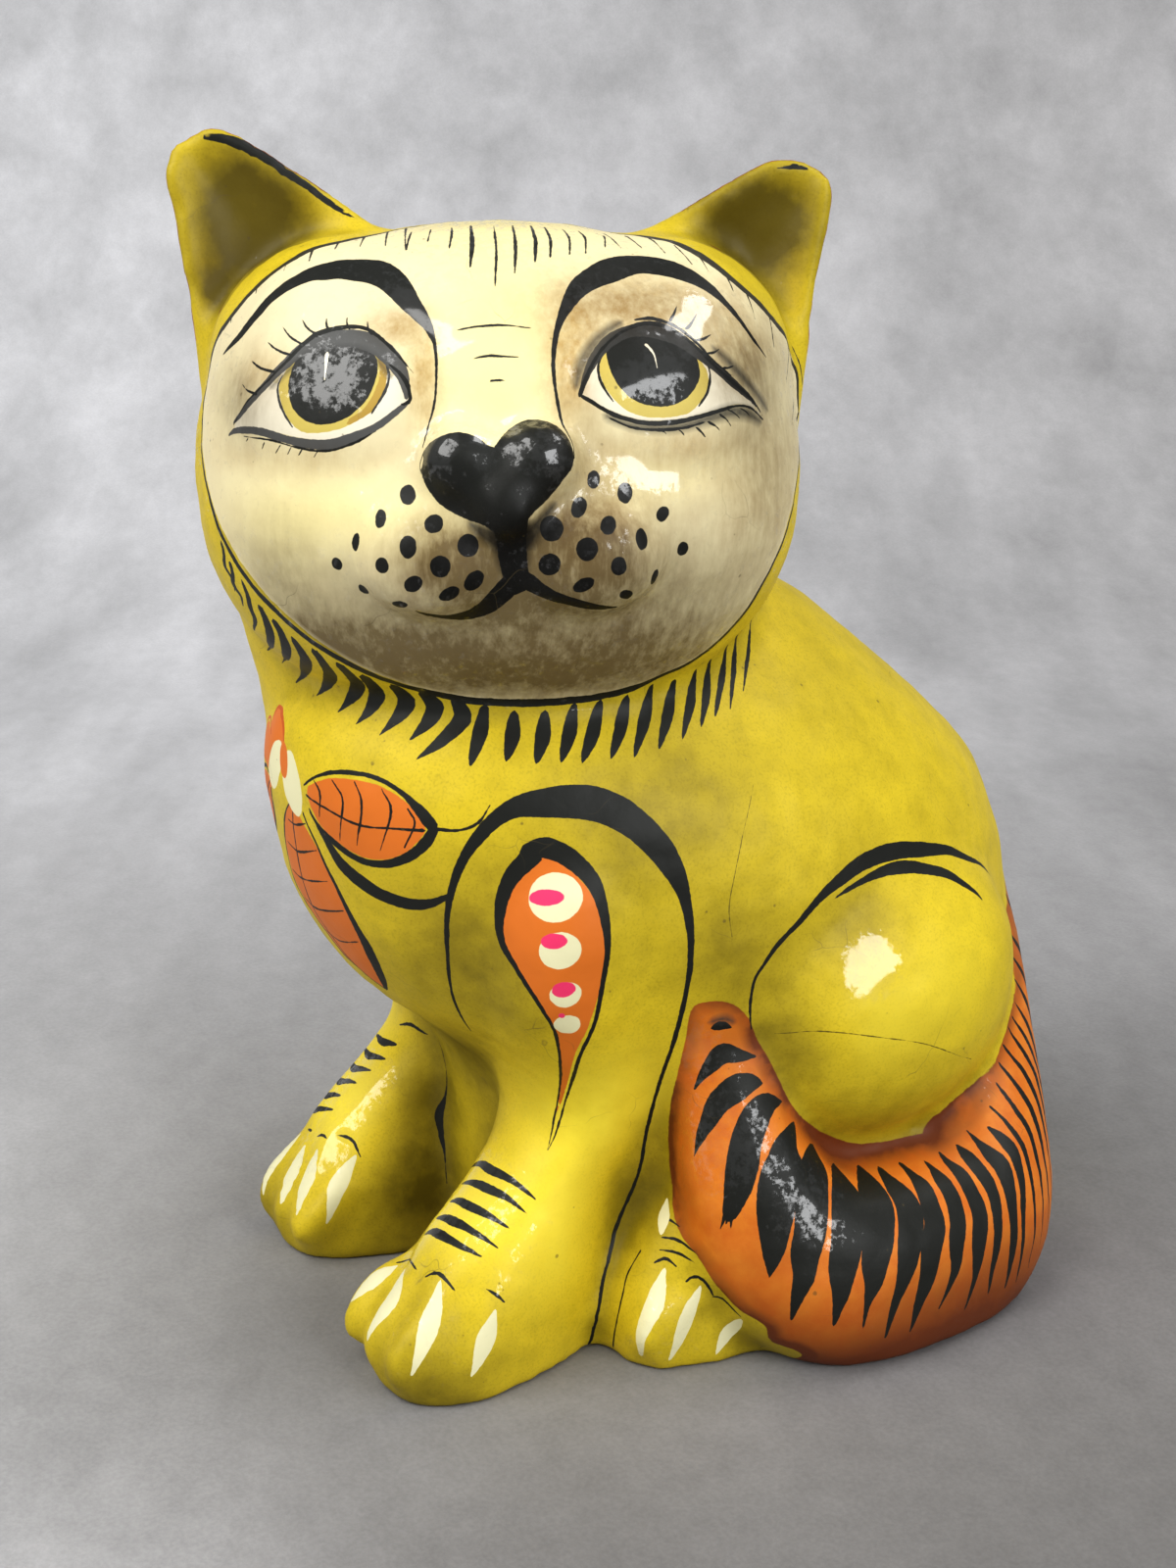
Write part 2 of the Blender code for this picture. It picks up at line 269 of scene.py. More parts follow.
for name, size, strength in [("swells", 0.022, 0.0011), ("dents", 0.007, 0.0004)]:
    clouds = bpy.data.textures.new(name, "CLOUDS")
    clouds.noise_scale = size
    apply(shell, "DISPLACE", texture=clouds, texture_coords="LOCAL", strength=strength, mid_level=0.5)


def rows_of_three(parts, kind):
    """What a mesh's vertices or faces keep under a name, one row for each."""
    flat = np.empty(len(parts) * 3, np.float32)
    parts.foreach_get(kind, flat)
    return flat.reshape(-1, 3).astype(float)


skin = shell.data
vertex_count = len(skin.vertices)
places = rows_of_three(skin.vertices, "co")
normals = rows_of_three(skin.vertices, "normal")


def press(points, depth, reach):
    """Presses a soft groove into the shell along points; all are in millimetres."""
    knots = np.array(points, float) / 1000
    steps = np.linspace(0, len(knots) - 1, 8 * len(knots))
    line = np.column_stack([np.interp(steps, range(len(knots)), knots[:, i]) for i in range(3)])
    path = np.array([places[((places - p) ** 2).sum(axis=1).argmin()] for p in line])
    far = np.full(vertex_count, 1.0)
    for p in path:
        far = np.minimum(far, np.linalg.norm(places - p, axis=1))
    places[:] -= normals * (depth * np.exp(-(far / (reach * MM)) ** 2) / 1000)[:, None]


# The toes are parted with a wet thumb.
for toe_gap in [[(24, -87, 29), (25.5, -97, 17), (26, -102, 5)],
                [(35, -87, 31), (40, -97, 19), (41, -101, 6)], [(48, -81, 29), (52, -86, 18), (53, -91, 5)],
                [(-36, -80, 35), (-32, -92, 19), (-30, -95, 5)],
                [(-47, -84, 34), (-41.5, -97, 18), (-39, -101, 5)],
                [(-55, -84, 32), (-53, -95, 17), (-51, -99, 5)],
                [(66, -27, 26), (66, -34, 13), (64.5, -37, 3)],
                [(71, -19, 21), (70.5, -24, 11), (68, -27, 3)]]:
    press(toe_gap, 0.9, 3.5)
low, high = (np.array(corner) for corner in cad_box)
places = np.clip(places, low, high)
skin.vertices.foreach_set("co", places.astype(np.float32).ravel())
skin.update()


# ---- The brush ---------------------------------------------------------------------------------
# The painter works freehand on the dry ground with a pointed brush and thick enamel. A mark laid
# later covers the earlier ones, and thinned paint fades out at its edge.

COATS = 6
EDGE_ROOM = 0.45 * MM
THIN_ROOM = 1.4 * MM

places = rows_of_three(skin.vertices, "co")
normals = rows_of_three(skin.vertices, "normal")
facings = rows_of_three(skin.polygons, "normal")
face_count = len(skin.polygons)
corner_vertices = np.empty(len(skin.loops), np.int32)
skin.loops.foreach_get("vertex_index", corner_vertices)
corner_vertices = corner_vertices.reshape(face_count, 4)
corners = places[corner_vertices]
middles = corners.mean(axis=1)

surface = BVHTree.FromPolygons([tuple(p) for p in places], [tuple(f) for f in corner_vertices])
face_finder = kdtree.KDTree(face_count)
for number, middle in enumerate(middles):
    face_finder.insert(middle, number)
face_finder.balance()

# Each face keeps up to six marks. For each corner a mark holds how far that corner lies across it,
# in two directions, and half of how wide it is there; thinned paint is kept as negative numbers.
marks = np.zeros((COATS, face_count, 4, 3), np.float32)
marks[..., 2] = -1
paints = np.zeros((COATS, face_count, 3), np.float32)
coats_on = np.zeros(face_count, int)


def linear(red, green, blue):
    """A paint's colour as the shader takes it, from its everyday 0 to 255 values."""
    shares = (red / 255, green / 255, blue / 255)
    return tuple(((share + 0.055) / 1.055) ** 2.4 if share > 0.04 else share / 12.92 for share in shares)


BLACK = linear(30, 31, 27)


def lay(faces, values, paint, crossed):
    """Adds a mark to the coats of the faces that it touches."""
    room = THIN_ROOM if min(paint) < 0 else EDGE_ROOM
    edge = values[..., 2] - np.hypot(values[..., 0], values[..., 1])
    touched = (edge.max(axis=1) > -room) | (crossed & (values[..., 2].max(axis=1) > -room))
    faces, values, edge = faces[touched], values[touched], edge[touched]
    hidden = faces[(edge.min(axis=1) > room) & (min(paint) >= 0)]
    coats_on[hidden] = 0
    marks[:, hidden, :, 2] = -1
    full = faces[coats_on[faces] == COATS]
    marks[:-1, full] = marks[1:, full]
    paints[:-1, full] = paints[1:, full]
    coats_on[full] = COATS - 1
    marks[coats_on[faces], faces] = values
    paints[coats_on[faces], faces] = paint
    coats_on[faces] += 1


def flowing(points, widths, step):
    """Even steps along a smooth curve through the points, with the width at each."""
    knots = np.column_stack([points, widths]).astype(float)
    knots = np.vstack([2 * knots[0] - knots[1], knots, 2 * knots[-1] - knots[-2]])
    before, near, far, after = knots[:-3, None], knots[1:-2, None], knots[2:-1, None], knots[3:, None]
    t = np.linspace(0, 1, 24, endpoint=False)[:, None]
    bends = near + 0.5 * t * (far - before + t * (2 * before - 5 * near + 4 * far - after + t * (
        3 * near - before - 3 * far + after)))
    line = np.vstack([bends.reshape(-1, knots.shape[1]), knots[-2]])
    gone = np.r_[0, np.cumsum(np.linalg.norm(np.diff(line[:, :-1], axis=0), axis=1))]
    even = np.linspace(0, gone[-1], max(3, int(gone[-1] / step) + 1))
    return np.column_stack([np.interp(even, gone, line[:, i]) for i in range(line.shape[1])])


def on_shell(points):
    """The nearest places on the shell, and the way that it faces there."""
    found = [surface.find_nearest(p) for p in points]
    return np.array([f[0] for f in found]), np.array([f[1] for f in found])


def faces_near(points, radius, way):
    """The faces within a radius of any of the points that face much as the shell does there."""
    near = {}
    for point, normal in zip(points, way):
        for _, number, _ in face_finder.find_range(point, radius):
            if number not in near and facings[number] @ normal > (0.2 if normal.any() else -1):
                near[number] = True
    return np.array(list(near), int)


def thinned(paint):
    """The same paint, let down so that its edge fades out."""
    return tuple(-channel for channel in paint)


def stroke(points, widths, paint=BLACK, around=False):
    """One pull of the brush through points in millimetres, with half widths spread evenly along it.

    Around keeps it as wide on every side of the line, also where the shell turns away."""
    points = np.array(points, float) * MM
    widths = np.atleast_1d(widths).astype(float)
    widths = np.interp(np.linspace(0, 1, len(points)), np.linspace(0, 1, len(widths)), widths)
    line = flowing(points, widths * MM, 0.6 * MM)
    path, way = on_shell(line[:, :3])
    width = np.maximum(line[:, 3], 0.05 * MM)
    along = np.gradient(path, axis=0)
    along /= np.maximum(np.linalg.norm(along, axis=1, keepdims=True), 1e-9)
    across = np.cross(way, along)
    across /= np.maximum(np.linalg.norm(across, axis=1, keepdims=True), 1e-9)
    gone = np.r_[0, np.cumsum(np.linalg.norm(np.diff(path, axis=0), axis=1))]
    faces = faces_near(path, width.max() + 2.4 * MM, 0 * way if around else way)
    spots = corners[faces].reshape(-1, 3)
    nearest = np.empty(len(spots), int)
    for begin in range(0, len(spots), 4000):
        gap = spots[begin:begin + 4000, None] - path[None]
        nearest[begin:begin + 4000] = (gap ** 2).sum(axis=2).argmin(axis=1)
    gap = spots - path[nearest]
    side = (gap * across[nearest]).sum(axis=1)
    ahead = gone[nearest] + (gap * along[nearest]).sum(axis=1)
    past = np.maximum(np.maximum(-ahead, ahead - gone[-1]), 0)
    wide = np.interp(ahead, gone, width) - 1.5 * past
    if around:
        side = np.linalg.norm(gap - along[nearest] * (gap * along[nearest]).sum(axis=1)[:, None], axis=1)
    values = np.stack([side, 0 * side, wide], axis=1).reshape(-1, 4, 3)
    crossed = (values[..., 0].min(axis=1) < 0) & (values[..., 0].max(axis=1) > 0)
    lay(faces, values, paint, crossed)


def spot(centre, length, width, paint, towards=(0, 0, 1)):
    """One dab: an oval of these half sizes in millimetres, its length pointing towards a direction."""
    place, way = on_shell([np.array(centre, float) * MM])
    long_way = np.array(towards, float) - way[0] * (np.array(towards, float) @ way[0])
    long_way /= np.linalg.norm(long_way)
    cross_way = np.cross(way[0], long_way)
    faces = faces_near(place, max(length, width) * MM + 2.2 * MM, way)
    gap = corners[faces] - place[0]
    least = min(length, width)
    lengthwise, sideways = gap @ long_way * least / length, gap @ cross_way * least / width
    values = np.stack([lengthwise, sideways, 0 * sideways + least * MM], axis=2)
    lay(faces, values, paint, np.linalg.norm(gap, axis=2).min(axis=1) < 1.2 * MM)


def edge_distance(flat, outline):
    """How far inside a closed outline each flat place lies; negative outside."""
    start, run = outline, np.roll(outline, -1, axis=0) - outline
    rise = np.where(run[:, 1] == 0, 1e-12, run[:, 1])
    found = []
    for part in np.array_split(flat, len(flat) // 1500 + 1):
        gap = part[:, None] - start
        t = np.clip((gap * run).sum(axis=2) / np.maximum((run ** 2).sum(axis=1), 1e-18), 0, 1)
        least = np.sqrt(((gap - t[..., None] * run) ** 2).sum(axis=2).min(axis=1))
        level = (gap[..., 1] < 0) != (gap[..., 1] < run[:, 1])
        crossings = (level & (gap[..., 0] < run[:, 0] * gap[..., 1] / rise)).sum(axis=1)
        found.append(np.where(crossings % 2 == 1, least, -least))
    return np.concatenate(found)


def closed(points):
    """A smooth closed outline through flat points."""
    ring = np.array(list(points)[-2:] + list(points) + list(points)[:2], float)
    line = flowing(ring, np.arange(len(ring)), 0.6)
    return line[(line[:, 2] >= 2) & (line[:, 2] < len(points) + 2), :2]


def patch(outline, paint):
    """A filled shape, from the points of its outline on the shell in millimetres."""
    points = np.array(outline, float) * MM
    centre = points.mean(axis=0)
    way = on_shell([centre])[1][0]
    right = np.cross((0, 0, 1), way)
    right /= np.linalg.norm(right)
    upward = np.cross(way, right)
    flat = np.column_stack([(points - centre) @ right, (points - centre) @ upward])
    ring = closed(flat / MM) * MM
    reach = np.linalg.norm(points - centre, axis=1).max() + 3 * MM
    faces = faces_near([centre], reach, [way])
    gap = corners[faces] - centre
    flat = np.column_stack([(gap @ right).ravel(), (gap @ upward).ravel()])
    inside = edge_distance(flat, ring).reshape(-1, 4)
    values = np.stack([0 * inside, 0 * inside, inside], axis=2)
    lay(faces, values, paint, np.zeros(len(faces), bool))


# ---- The face ----------------------------------------------------------------------------------
# A cream mask with a black line round it, painted in enamel. The eyes are open and human-like:
# white corners, a dull gold ring, a black pupil with a thin glint, smoky lids and single lashes.

EDGE_LINE = linear(54, 52, 42)
CREAM_WHITE = linear(238, 230, 206)
GOLD = linear(206, 186, 96)
DEEP_GOLD = linear(180, 148, 66)
SMOKE = linear(58, 58, 56)
LID_GREY = linear(88, 88, 86)
GREY = linear(92, 88, 78)

# The face is flat enough to be drawn as on a sheet: across it and up it, in millimetres from the
# middle of the head, which is turned 62.5 degrees to the cat's left and tipped back 7.
head_middle = Vector((-0.0019, -0.0423, 0.2300))
head_turn = Matrix.Rotation(math.radians(62.5), 4, "Z") @ Matrix.Rotation(math.radians(90 - 7), 4, "X")
across_face, up_face, out_of_face = (np.array(head_turn.col[i][:3]) for i in range(3))


def on_face(*points):
    """Places on the face, in millimetres, from places on the sheet."""
    found = []
    for across, up in points:
        above = np.array(head_middle) + (across * across_face + up * up_face) * MM + 0.2 * out_of_face
        hit = surface.ray_cast(above, -out_of_face)[0]
        if hit is None:
            hit = surface.find_nearest(above - 0.18 * out_of_face)[0]
        found.append(np.array(hit) / MM)
    return found


def face_places(points):
    """Places on the sheet of places in metres, with the height above it."""
    gap = points - np.array(head_middle)
    return gap @ across_face, gap @ up_face, gap @ out_of_face


def draw(*line, paint=BLACK):
    """A pull of the brush over the face; the line holds across, up and the mark's half width."""
    stroke(on_face(*[p[:2] for p in line]), [p[2] for p in line], paint)


def between(start, end, share=0.5, aside=0.0, upward=0.0):
    """A place part of the way from one on the sheet to another, moved a little aside or up."""
    return start[0] + share * (end[0] - start[0]) + aside, start[1] + share * (end[1] - start[1]) + upward


face_outline = [(-71.5, 4), (-71.8, 16), (-70.6, 25), (-68.2, 33), (-64.2, 38.2), (-58.8, 44),
                (-50.3, 50.8), (-42.3, 55), (-32.3, 57.3), (-20, 60), (-9, 61.5), (14, 61), (27, 58.8),
                (38, 57), (48, 53), (56, 46.8), (65, 39), (71.5, 32), (75.5, 25), (76.8, 14), (74, 0),
                (66, -23), (53, -41), (32, -51.5), (10, -54), (-14, -51.5), (-36, -43), (-55, -28),
                (-67, -11)]
draw((76.8, 14, 0.5), (74, 0, 0.5), (66, -23, 0.6), (53, -41, 0.9), (32, -51.5, 1.1), (10, -54, 1.15),
     (-14, -52, 1.1), (-37, -43.5, 1.1), (-56.5, -28.5, 1.0), (-68, -11, 0.8), (-72, 4, 0.6),
     (-72, 16, 0.5))
draw((-72, 16, 0.5), (-70.6, 25, 0.7), (-68.2, 33, 0.9), (-64.2, 38.2, 1.0), (-58.8, 44, 1.1),
     (-50.3, 50.8, 1.2), (-42.3, 55, 1.1), (-32.3, 57.3, 0.9), (-20, 60, 0.6), (-9, 61.5, 0.3),
     (14, 61, 0.3), (27, 58.8, 0.7), (38, 57, 1.2), (48, 53, 1.7), (56, 46.8, 1.4), (65, 39, 1.2),
     (71.5, 32, 1.0), (75.5, 25, 0.7), (76.8, 14, 0.5), paint=EDGE_LINE)
draw((74, 32, 0.15), (76.6, 26.8, 0.3), (78, 21, 0.15), paint=EDGE_LINE)

# The cat's right eye, laid down in the order white, ring, pupil, lids, lash lines, lashes, glint.
patch(on_face((-62.5, 12.4), (-57.5, 13), (-53.3, 12.4), (-46.8, 11), (-39.7, 10.4), (-33.4, 12),
              (-28, 14.3), (-23.4, 17.4), (-20.6, 19.5), (-21, 22.5), (-23.5, 27.5), (-28, 32), (-33, 33.6),
              (-38.5, 33.6), (-44, 32), (-49, 27.8), (-54, 23), (-59, 17.6)), CREAM_WHITE)
patch(on_face((-49, 25.8), (-50.6, 22.4), (-49.8, 18), (-47.3, 13.6), (-44.2, 12), (-38.8, 12.3),
              (-34.1, 13.8), (-29.5, 16.8), (-26.4, 21.3), (-25.4, 25), (-26.3, 28.7), (-28.2, 29.8),
              (-34, 31), (-42, 31), (-46, 29.5)), GOLD)
draw((-34.5, 14.2, 0.6), (-29.6, 17.4, 0.9), (-26.9, 21.8, 1.0), (-26.2, 26, 0.8), (-27.2, 29.3, 0.3),
     paint=DEEP_GOLD)
draw((-49.6, 25, 0.2), (-50.9, 22, 0.35), (-50.1, 17.8, 0.35), (-47.4, 13.2, 0.2), paint=SMOKE)
draw((-29, 16.3, 0.15), (-25.9, 21.2, 0.3), (-24.9, 25, 0.3), (-26, 28.8, 0.2), paint=SMOKE)
patch(on_face((-47.8, 25), (-48.3, 21.3), (-47, 17.1), (-43.9, 14.5), (-39.6, 13.9), (-34.9, 15.3),
              (-30.6, 18.7), (-28.3, 22.8), (-27.5, 26.5), (-28.4, 29.6), (-33, 31.5), (-41, 31.5),
              (-46, 29)), BLACK)
draw((-62.5, 13.8, 0.4), (-59.1, 17.3, 0.9), (-53.9, 22.7, 1.1), (-49, 27.4, 1.5), (-44.3, 31.2, 1.9),
     (-38.8, 32.8, 2.4), (-33.3, 33.2, 2.5), (-28.4, 31.9, 2.4), (-24.5, 28.8, 2.1), (-21.9, 25, 1.6),
     (-21.2, 21.6, 0.8), (-21, 19.6, 0.4), paint=LID_GREY)
draw((-64, 10.8, 0.2), (-62.1, 12, 0.7), (-57.5, 12.3, 0.9), (-53.3, 11.6, 1.0), (-46.8, 9.9, 1.1),
     (-39.7, 9.3, 1.2), (-33.4, 11, 1.1), (-28, 13.4, 0.8), (-23.4, 16.6, 0.7), (-20.3, 19.2, 0.3),
     paint=LID_GREY)
draw((-52.6, 22, 0.4), (-47.4, 26.6, 0.7), (-43, 29.8, 0.8), (-37.5, 30.8, 0.8), (-32, 30.6, 0.8),
     (-28, 28.6, 0.6), (-24.5, 24.5, 0.5), paint=thinned(SMOKE))
draw((-62.9, 12.8, 0.15), (-58.8, 18.6, 0.25), (-52.6, 24.3, 0.35), (-47.6, 29.2, 0.6), (-44, 32.6, 0.7),
     (-41, 34.4, 0.75), (-35.7, 35.6, 0.7), (-31, 35.5, 0.6), (-27.7, 33.8, 0.5), (-24.1, 30.6, 0.35),
     (-19.1, 24.9, 0.1))
draw((-25.2, 27.6, 0.2), (-22.5, 25.3, 0.5), (-20.7, 22.7, 0.6), (-20.3, 20.5, 0.4), (-20.3, 19, 0.4),
     (-22.6, 18.1, 0.15))
draw((-60, 10.9, 0.1), (-53, 10.2, 0.25), (-46.6, 8.6, 0.3), (-39.6, 7.9, 0.3), (-33, 9.8, 0.25),
     (-27.6, 12.7, 0.1))
for tip, root in [((-60.1, 23), (-55.9, 20.5)), ((-57.7, 28.2), (-51.3, 25.5)),
                  ((-53.8, 32.6), (-47.1, 29.2)), ((-50, 36), (-45.1, 31.8)),
                  ((-45.3, 37.6), (-41.8, 34.1)), ((-39.5, 38), (-38.7, 34.9)), ((-34.7, 38), (-34, 35.2)),
                  ((-30, 37.2), (-28.7, 33.8))]:
    draw((*root, 0.35), (*between(root, tip, 0.55, -0.3, -0.5), 0.25), (*tip, 0.08))
for root, tip in [((-58.2, 10.9), (-59.7, 9.0)), ((-54.1, 10.4), (-55.4, 7.6)),
                  ((-50.3, 9.4), (-52.4, 6.2)), ((-47.8, 8.9), (-49.2, 6.4)), ((-45.2, 8.5), (-46.6, 6.2)),
                  ((-41.6, 8), (-42.6, 6.4))]:
    draw((*root, 0.25), (*tip, 0.08))
draw((-39.2, 29.8, 0.5), (-39.4, 27, 0.3), (-39.7, 23.8, 0.15), paint=CREAM_WHITE)

# The cat's left eye, in the same order.
patch(on_face((18.5, 20.4), (24.9, 16.9), (29.5, 15.2), (34.1, 14.3), (40.5, 14.5), (46.1, 15.6),
              (51.9, 17), (55.3, 17.6), (58.9, 17), (62.3, 14.2), (55.6, 21.4), (50.4, 25.6), (45.5, 29.8),
              (40.6, 33), (36, 34.4), (30, 33.6), (24, 30), (20.5, 25)), CREAM_WHITE)
patch(on_face((24, 29.9), (22.8, 26.1), (23.8, 22.4), (26.4, 18.6), (30.3, 16), (35.7, 14.9), (42.1, 15.4),
              (45.3, 17.2), (47.8, 20.6), (48.4, 24.4), (46.8, 27.5), (42, 31), (34, 33), (28, 32.5)), GOLD)
draw((23.6, 29.5, 0.15), (22.5, 26, 0.3), (23.5, 22.2, 0.3), (26.2, 18.2, 0.2))
draw((45.6, 17, 0.2), (48.1, 20.6, 0.4), (48.8, 25, 0.35), (47.6, 28, 0.2))
patch(on_face((25.1, 31), (24.9, 26.9), (26.5, 23.1), (29.5, 19.7), (34.2, 17.7), (39.7, 17.7),
              (43.7, 19.9), (46.2, 23.7), (46, 27.5), (44.1, 30.1), (37.8, 32.4), (30.8, 33.6)), BLACK)
draw((18.6, 21, 0.5), (19.9, 24.7, 0.9), (22.1, 28.8, 1.3), (25.6, 32.4, 1.6), (30.1, 34.4, 1.8),
     (35.5, 34.3, 1.9), (41, 32.7, 1.8), (45.7, 29.5, 1.5), (50.5, 25.8, 1.2), (55.5, 21.7, 1.1),
     (60.8, 16.8, 0.5), paint=SMOKE)
draw((17.4, 22, 1.0), (19, 27.4, 1.5), (23, 33, 1.4), (28, 36.4, 1.0), paint=thinned(GREY))
draw((50, 30.6, 0.9), (54.8, 26.2, 1.4), (60, 20.8, 1.3), (64, 16, 0.8), paint=thinned(GREY))
draw((24, 15.6, 0.8), (30, 13.4, 1.0), (36, 12.7, 1.1), (42, 13, 1.1), (48, 14.4, 1.2), (53, 15.8, 1.5),
     (57.5, 15.6, 1.5), (62, 13.2, 0.7), paint=thinned(SMOKE))
draw((18.2, 19.9, 0.5), (18.6, 21.2, 0.6), (20.4, 25.4, 0.4), (23.4, 30.2, 0.35), (27.6, 33.8, 0.4),
     (32.4, 36, 0.6), (36.6, 36, 0.7), (40.6, 34.6, 0.5), (45.5, 30.9, 0.45), (50.4, 26.1, 0.5),
     (55.6, 21.8, 0.45), (61.4, 16.2, 0.25), (62.2, 15.2, 0.1))
draw((31, 36.9, 0.2), (35.4, 37.3, 0.5), (40.7, 35.6, 0.5), (45.2, 32.3, 0.4), (49.5, 27.9, 0.3),
     (54.7, 23.6, 0.15))
draw((18.3, 20.2, 0.4), (24.9, 16.3, 0.5), (29.5, 14.6, 0.55), (34.1, 13.7, 0.6), (40.5, 13.9, 0.6),
     (46.1, 15, 0.5), (51.9, 16.5, 0.4), (55.3, 17.2, 0.35), (58.9, 16.7, 0.3), (62.8, 13.6, 0.2))
draw((24.5, 15.2, 0.15), (30, 12.9, 0.35), (36, 12.2, 0.4), (42, 12.5, 0.35), (48, 13.9, 0.15))
for root, tip in [((36.2, 12.5), (38.7, 10.2)), ((40, 12.8), (42.9, 10.1)), ((44.2, 13.1), (47.8, 9.9)),
                  ((47.6, 14), (51.6, 11.1)), ((50.6, 15.6), (53.9, 12.6)), ((52.8, 16.6), (56.6, 13.7)),
                  ((55.2, 17), (59, 14.6))]:
    draw((*root, 0.28), (*between(root, tip, 0.5, 0.3, 0.3), 0.2), (*tip, 0.08))
for root, tip in [((39.6, 36.6), (41.7, 40.4)), ((43.3, 34.6), (46.4, 38.6)), ((45.4, 32.2), (50, 33.9)),
                  ((48.2, 29.3), (51.6, 30.4)), ((51.3, 26.1), (54.9, 26.4))]:
    draw((*root, 0.35), (*between(root, tip, 0.5, 0, -0.4), 0.25), (*tip, 0.08))
draw((33.5, 31.6, 0.45), (35.4, 29.4, 0.25), (36.2, 26, 0.1), paint=CREAM_WHITE)

# Brows, sweeping down into the sides of the nose.
draw((-66, 29.2, 0.15), (-61, 34, 1.2), (-57.6, 37.8, 1.4), (-53.1, 42.6, 1.8), (-46.8, 46.7, 2.5),
     (-43.3, 48.1, 3.1), (-39.7, 48.8, 3.8), (-35.9, 49.2, 4.3), (-32.3, 49, 4.6), (-28.7, 48.4, 4.3),
     (-25.1, 46.6, 3.6), (-22.6, 44.1, 3.0), (-20.4, 41.2, 2.4), (-18, 38.4, 1.8), (-15.8, 35.1, 1.0),
     (-14.5, 31.2, 0.4), (-14.2, 25.7, 0.25), (-14.7, 18.7, 0.25), (-16.2, 13.3, 0.2), (-17.6, 8, 0.2))
draw((16.4, 6, 0.25), (14.2, 13.9, 0.3), (13.1, 19.3, 0.42), (12.4, 25.6, 0.5), (12.7, 31.1, 0.55),
     (13.8, 35.8, 0.8), (16, 40.5, 1.6), (19.6, 45, 2.7), (25.8, 48.3, 3.9), (30, 49.7, 4.1),
     (34.6, 50, 4.2), (39, 49.4, 4.1), (43, 48.2, 3.6), (46.7, 46.5, 2.9), (49.7, 44.5, 2.1),
     (52.4, 42.2, 1.4), (54.7, 39.8, 1.0), (57.5, 36.5, 0.7), (60, 33.1, 0.55), (64.4, 27.5, 0.1))

# Three short creases between the brows, and the hairs that run down the forehead.
draw((-10, 34.7, 0.1), (-5, 35.6, 0.28), (1, 35.9, 0.32), (7.8, 35.1, 0.1))
draw((-6.5, 28.2, 0.1), (-3, 29, 0.3), (1, 28.9, 0.3), (5.3, 28.7, 0.1))
draw((-3, 23.3, 0.15), (-0.5, 23.6, 0.3), (2, 23.4, 0.15))
for end, width in [((-21.4, 53.5), 0.3), ((-16.4, 55.6), 0.25), ((-11.2, 53.8), 0.35), ((-6.3, 49.1), 0.6),
                   ((-0.6, 44.8), 0.35), ((4, 47.7), 0.4), ((8.8, 50.3), 0.5), ((12.4, 51.3), 0.4),
                   ((17, 52), 0.3), ((20.9, 52.5), 0.3), ((25.7, 53.9), 0.25)]:
    top = (0.97 * end[0] - 0.2, 62.5 - 0.002 * end[0] ** 2)
    draw((*top, 0.5 * width), (0.99 * end[0] + 0.4, 0.45 * top[1] + 0.55 * end[1], width),
         (*end, 0.6 * width))
for top, end in [((-63.8, 38.6), (-63.9, 37)), ((-57.2, 45.6), (-57.4, 43.7)), ((-50.1, 51), (-50.6, 48.8)),
                 ((-44.1, 54.1), (-44.5, 51.2)), ((-38, 56.2), (-38.7, 53.8)), ((-32, 57.2), (-32.7, 54.5)),
                 ((-26.4, 58.6), (-26.5, 54.6)), ((-22, 59.5), (-21.5, 53.4)), ((26, 58), (29.7, 53.8)),
                 ((31.5, 57.5), (34.8, 54)), ((37, 57), (40.4, 52.6)), ((42.8, 55), (46.5, 49.9)),
                 ((48, 53), (50.5, 47.9)), ((54.8, 47.4), (56.3, 43.3)), ((59.5, 43.6), (61.3, 36.9)),
                 ((65.6, 38.2), (66.5, 29.8)), ((71.8, 30.5), (70.1, 21.9)), ((73.5, 18), (71.6, 11.5))]:
    draw((*top, 0.32), (*end, 0.1), paint=EDGE_LINE)

# The heart-shaped nose, its stem and the mouth's two curls; the stem's sides are smoky, partly
# painted shade under the nose.
draw((2.4, -9, 5.0), (2.4, -14, 4.0), (3.2, -20, 3.0), paint=thinned(SMOKE))
draw((-7, -8, 0.9), (-2, -11, 2.4), (1, -13, 2.4), paint=thinned(SMOKE))
draw((12, -4, 0.9), (7, -10, 2.2), (5, -13, 2.2), paint=thinned(SMOKE))
patch(on_face((-18.2, 4.6), (-16.9, 8.6), (-13.5, 11.3), (-9.3, 12.4), (-5, 11.2), (-2.9, 9.4), (-2, 8),
              (-0.8, 9.8), (2.5, 13.1), (7.3, 14.9), (12.2, 13.8), (15.6, 10.2), (16.4, 5.2), (14.2, 1.9),
              (10.8, -2.4), (6.4, -6.4), (5, -9.6), (-0.3, -10.2), (-4.1, -8.3), (-8.9, -6.6),
              (-13.6, -3.8), (-16.9, 0.5)), BLACK)
draw((2.3, -7.2, 3.9), (2.3, -12.4, 3.4), (2.8, -17.4, 3.1), (3.4, -20.5, 3.0), (3.2, -23.4, 2.5))
draw((3.5, -20, 1.8), (1.5, -22.7, 2.5), (-0.7, -25, 2.6), (-3.9, -27.8, 2.4), (-7.9, -29.6, 2.0),
     (-12.8, -30.1, 1.5), (-17.1, -29.2, 0.9), (-19.8, -28.2, 0.3))
draw((3.6, -20, 1.8), (6.1, -21.7, 2.3), (8.8, -23.6, 2.1), (12.6, -25.4, 1.8), (17, -26.7, 1.5),
     (21.9, -27.8, 1.1), (26.4, -28, 0.4))

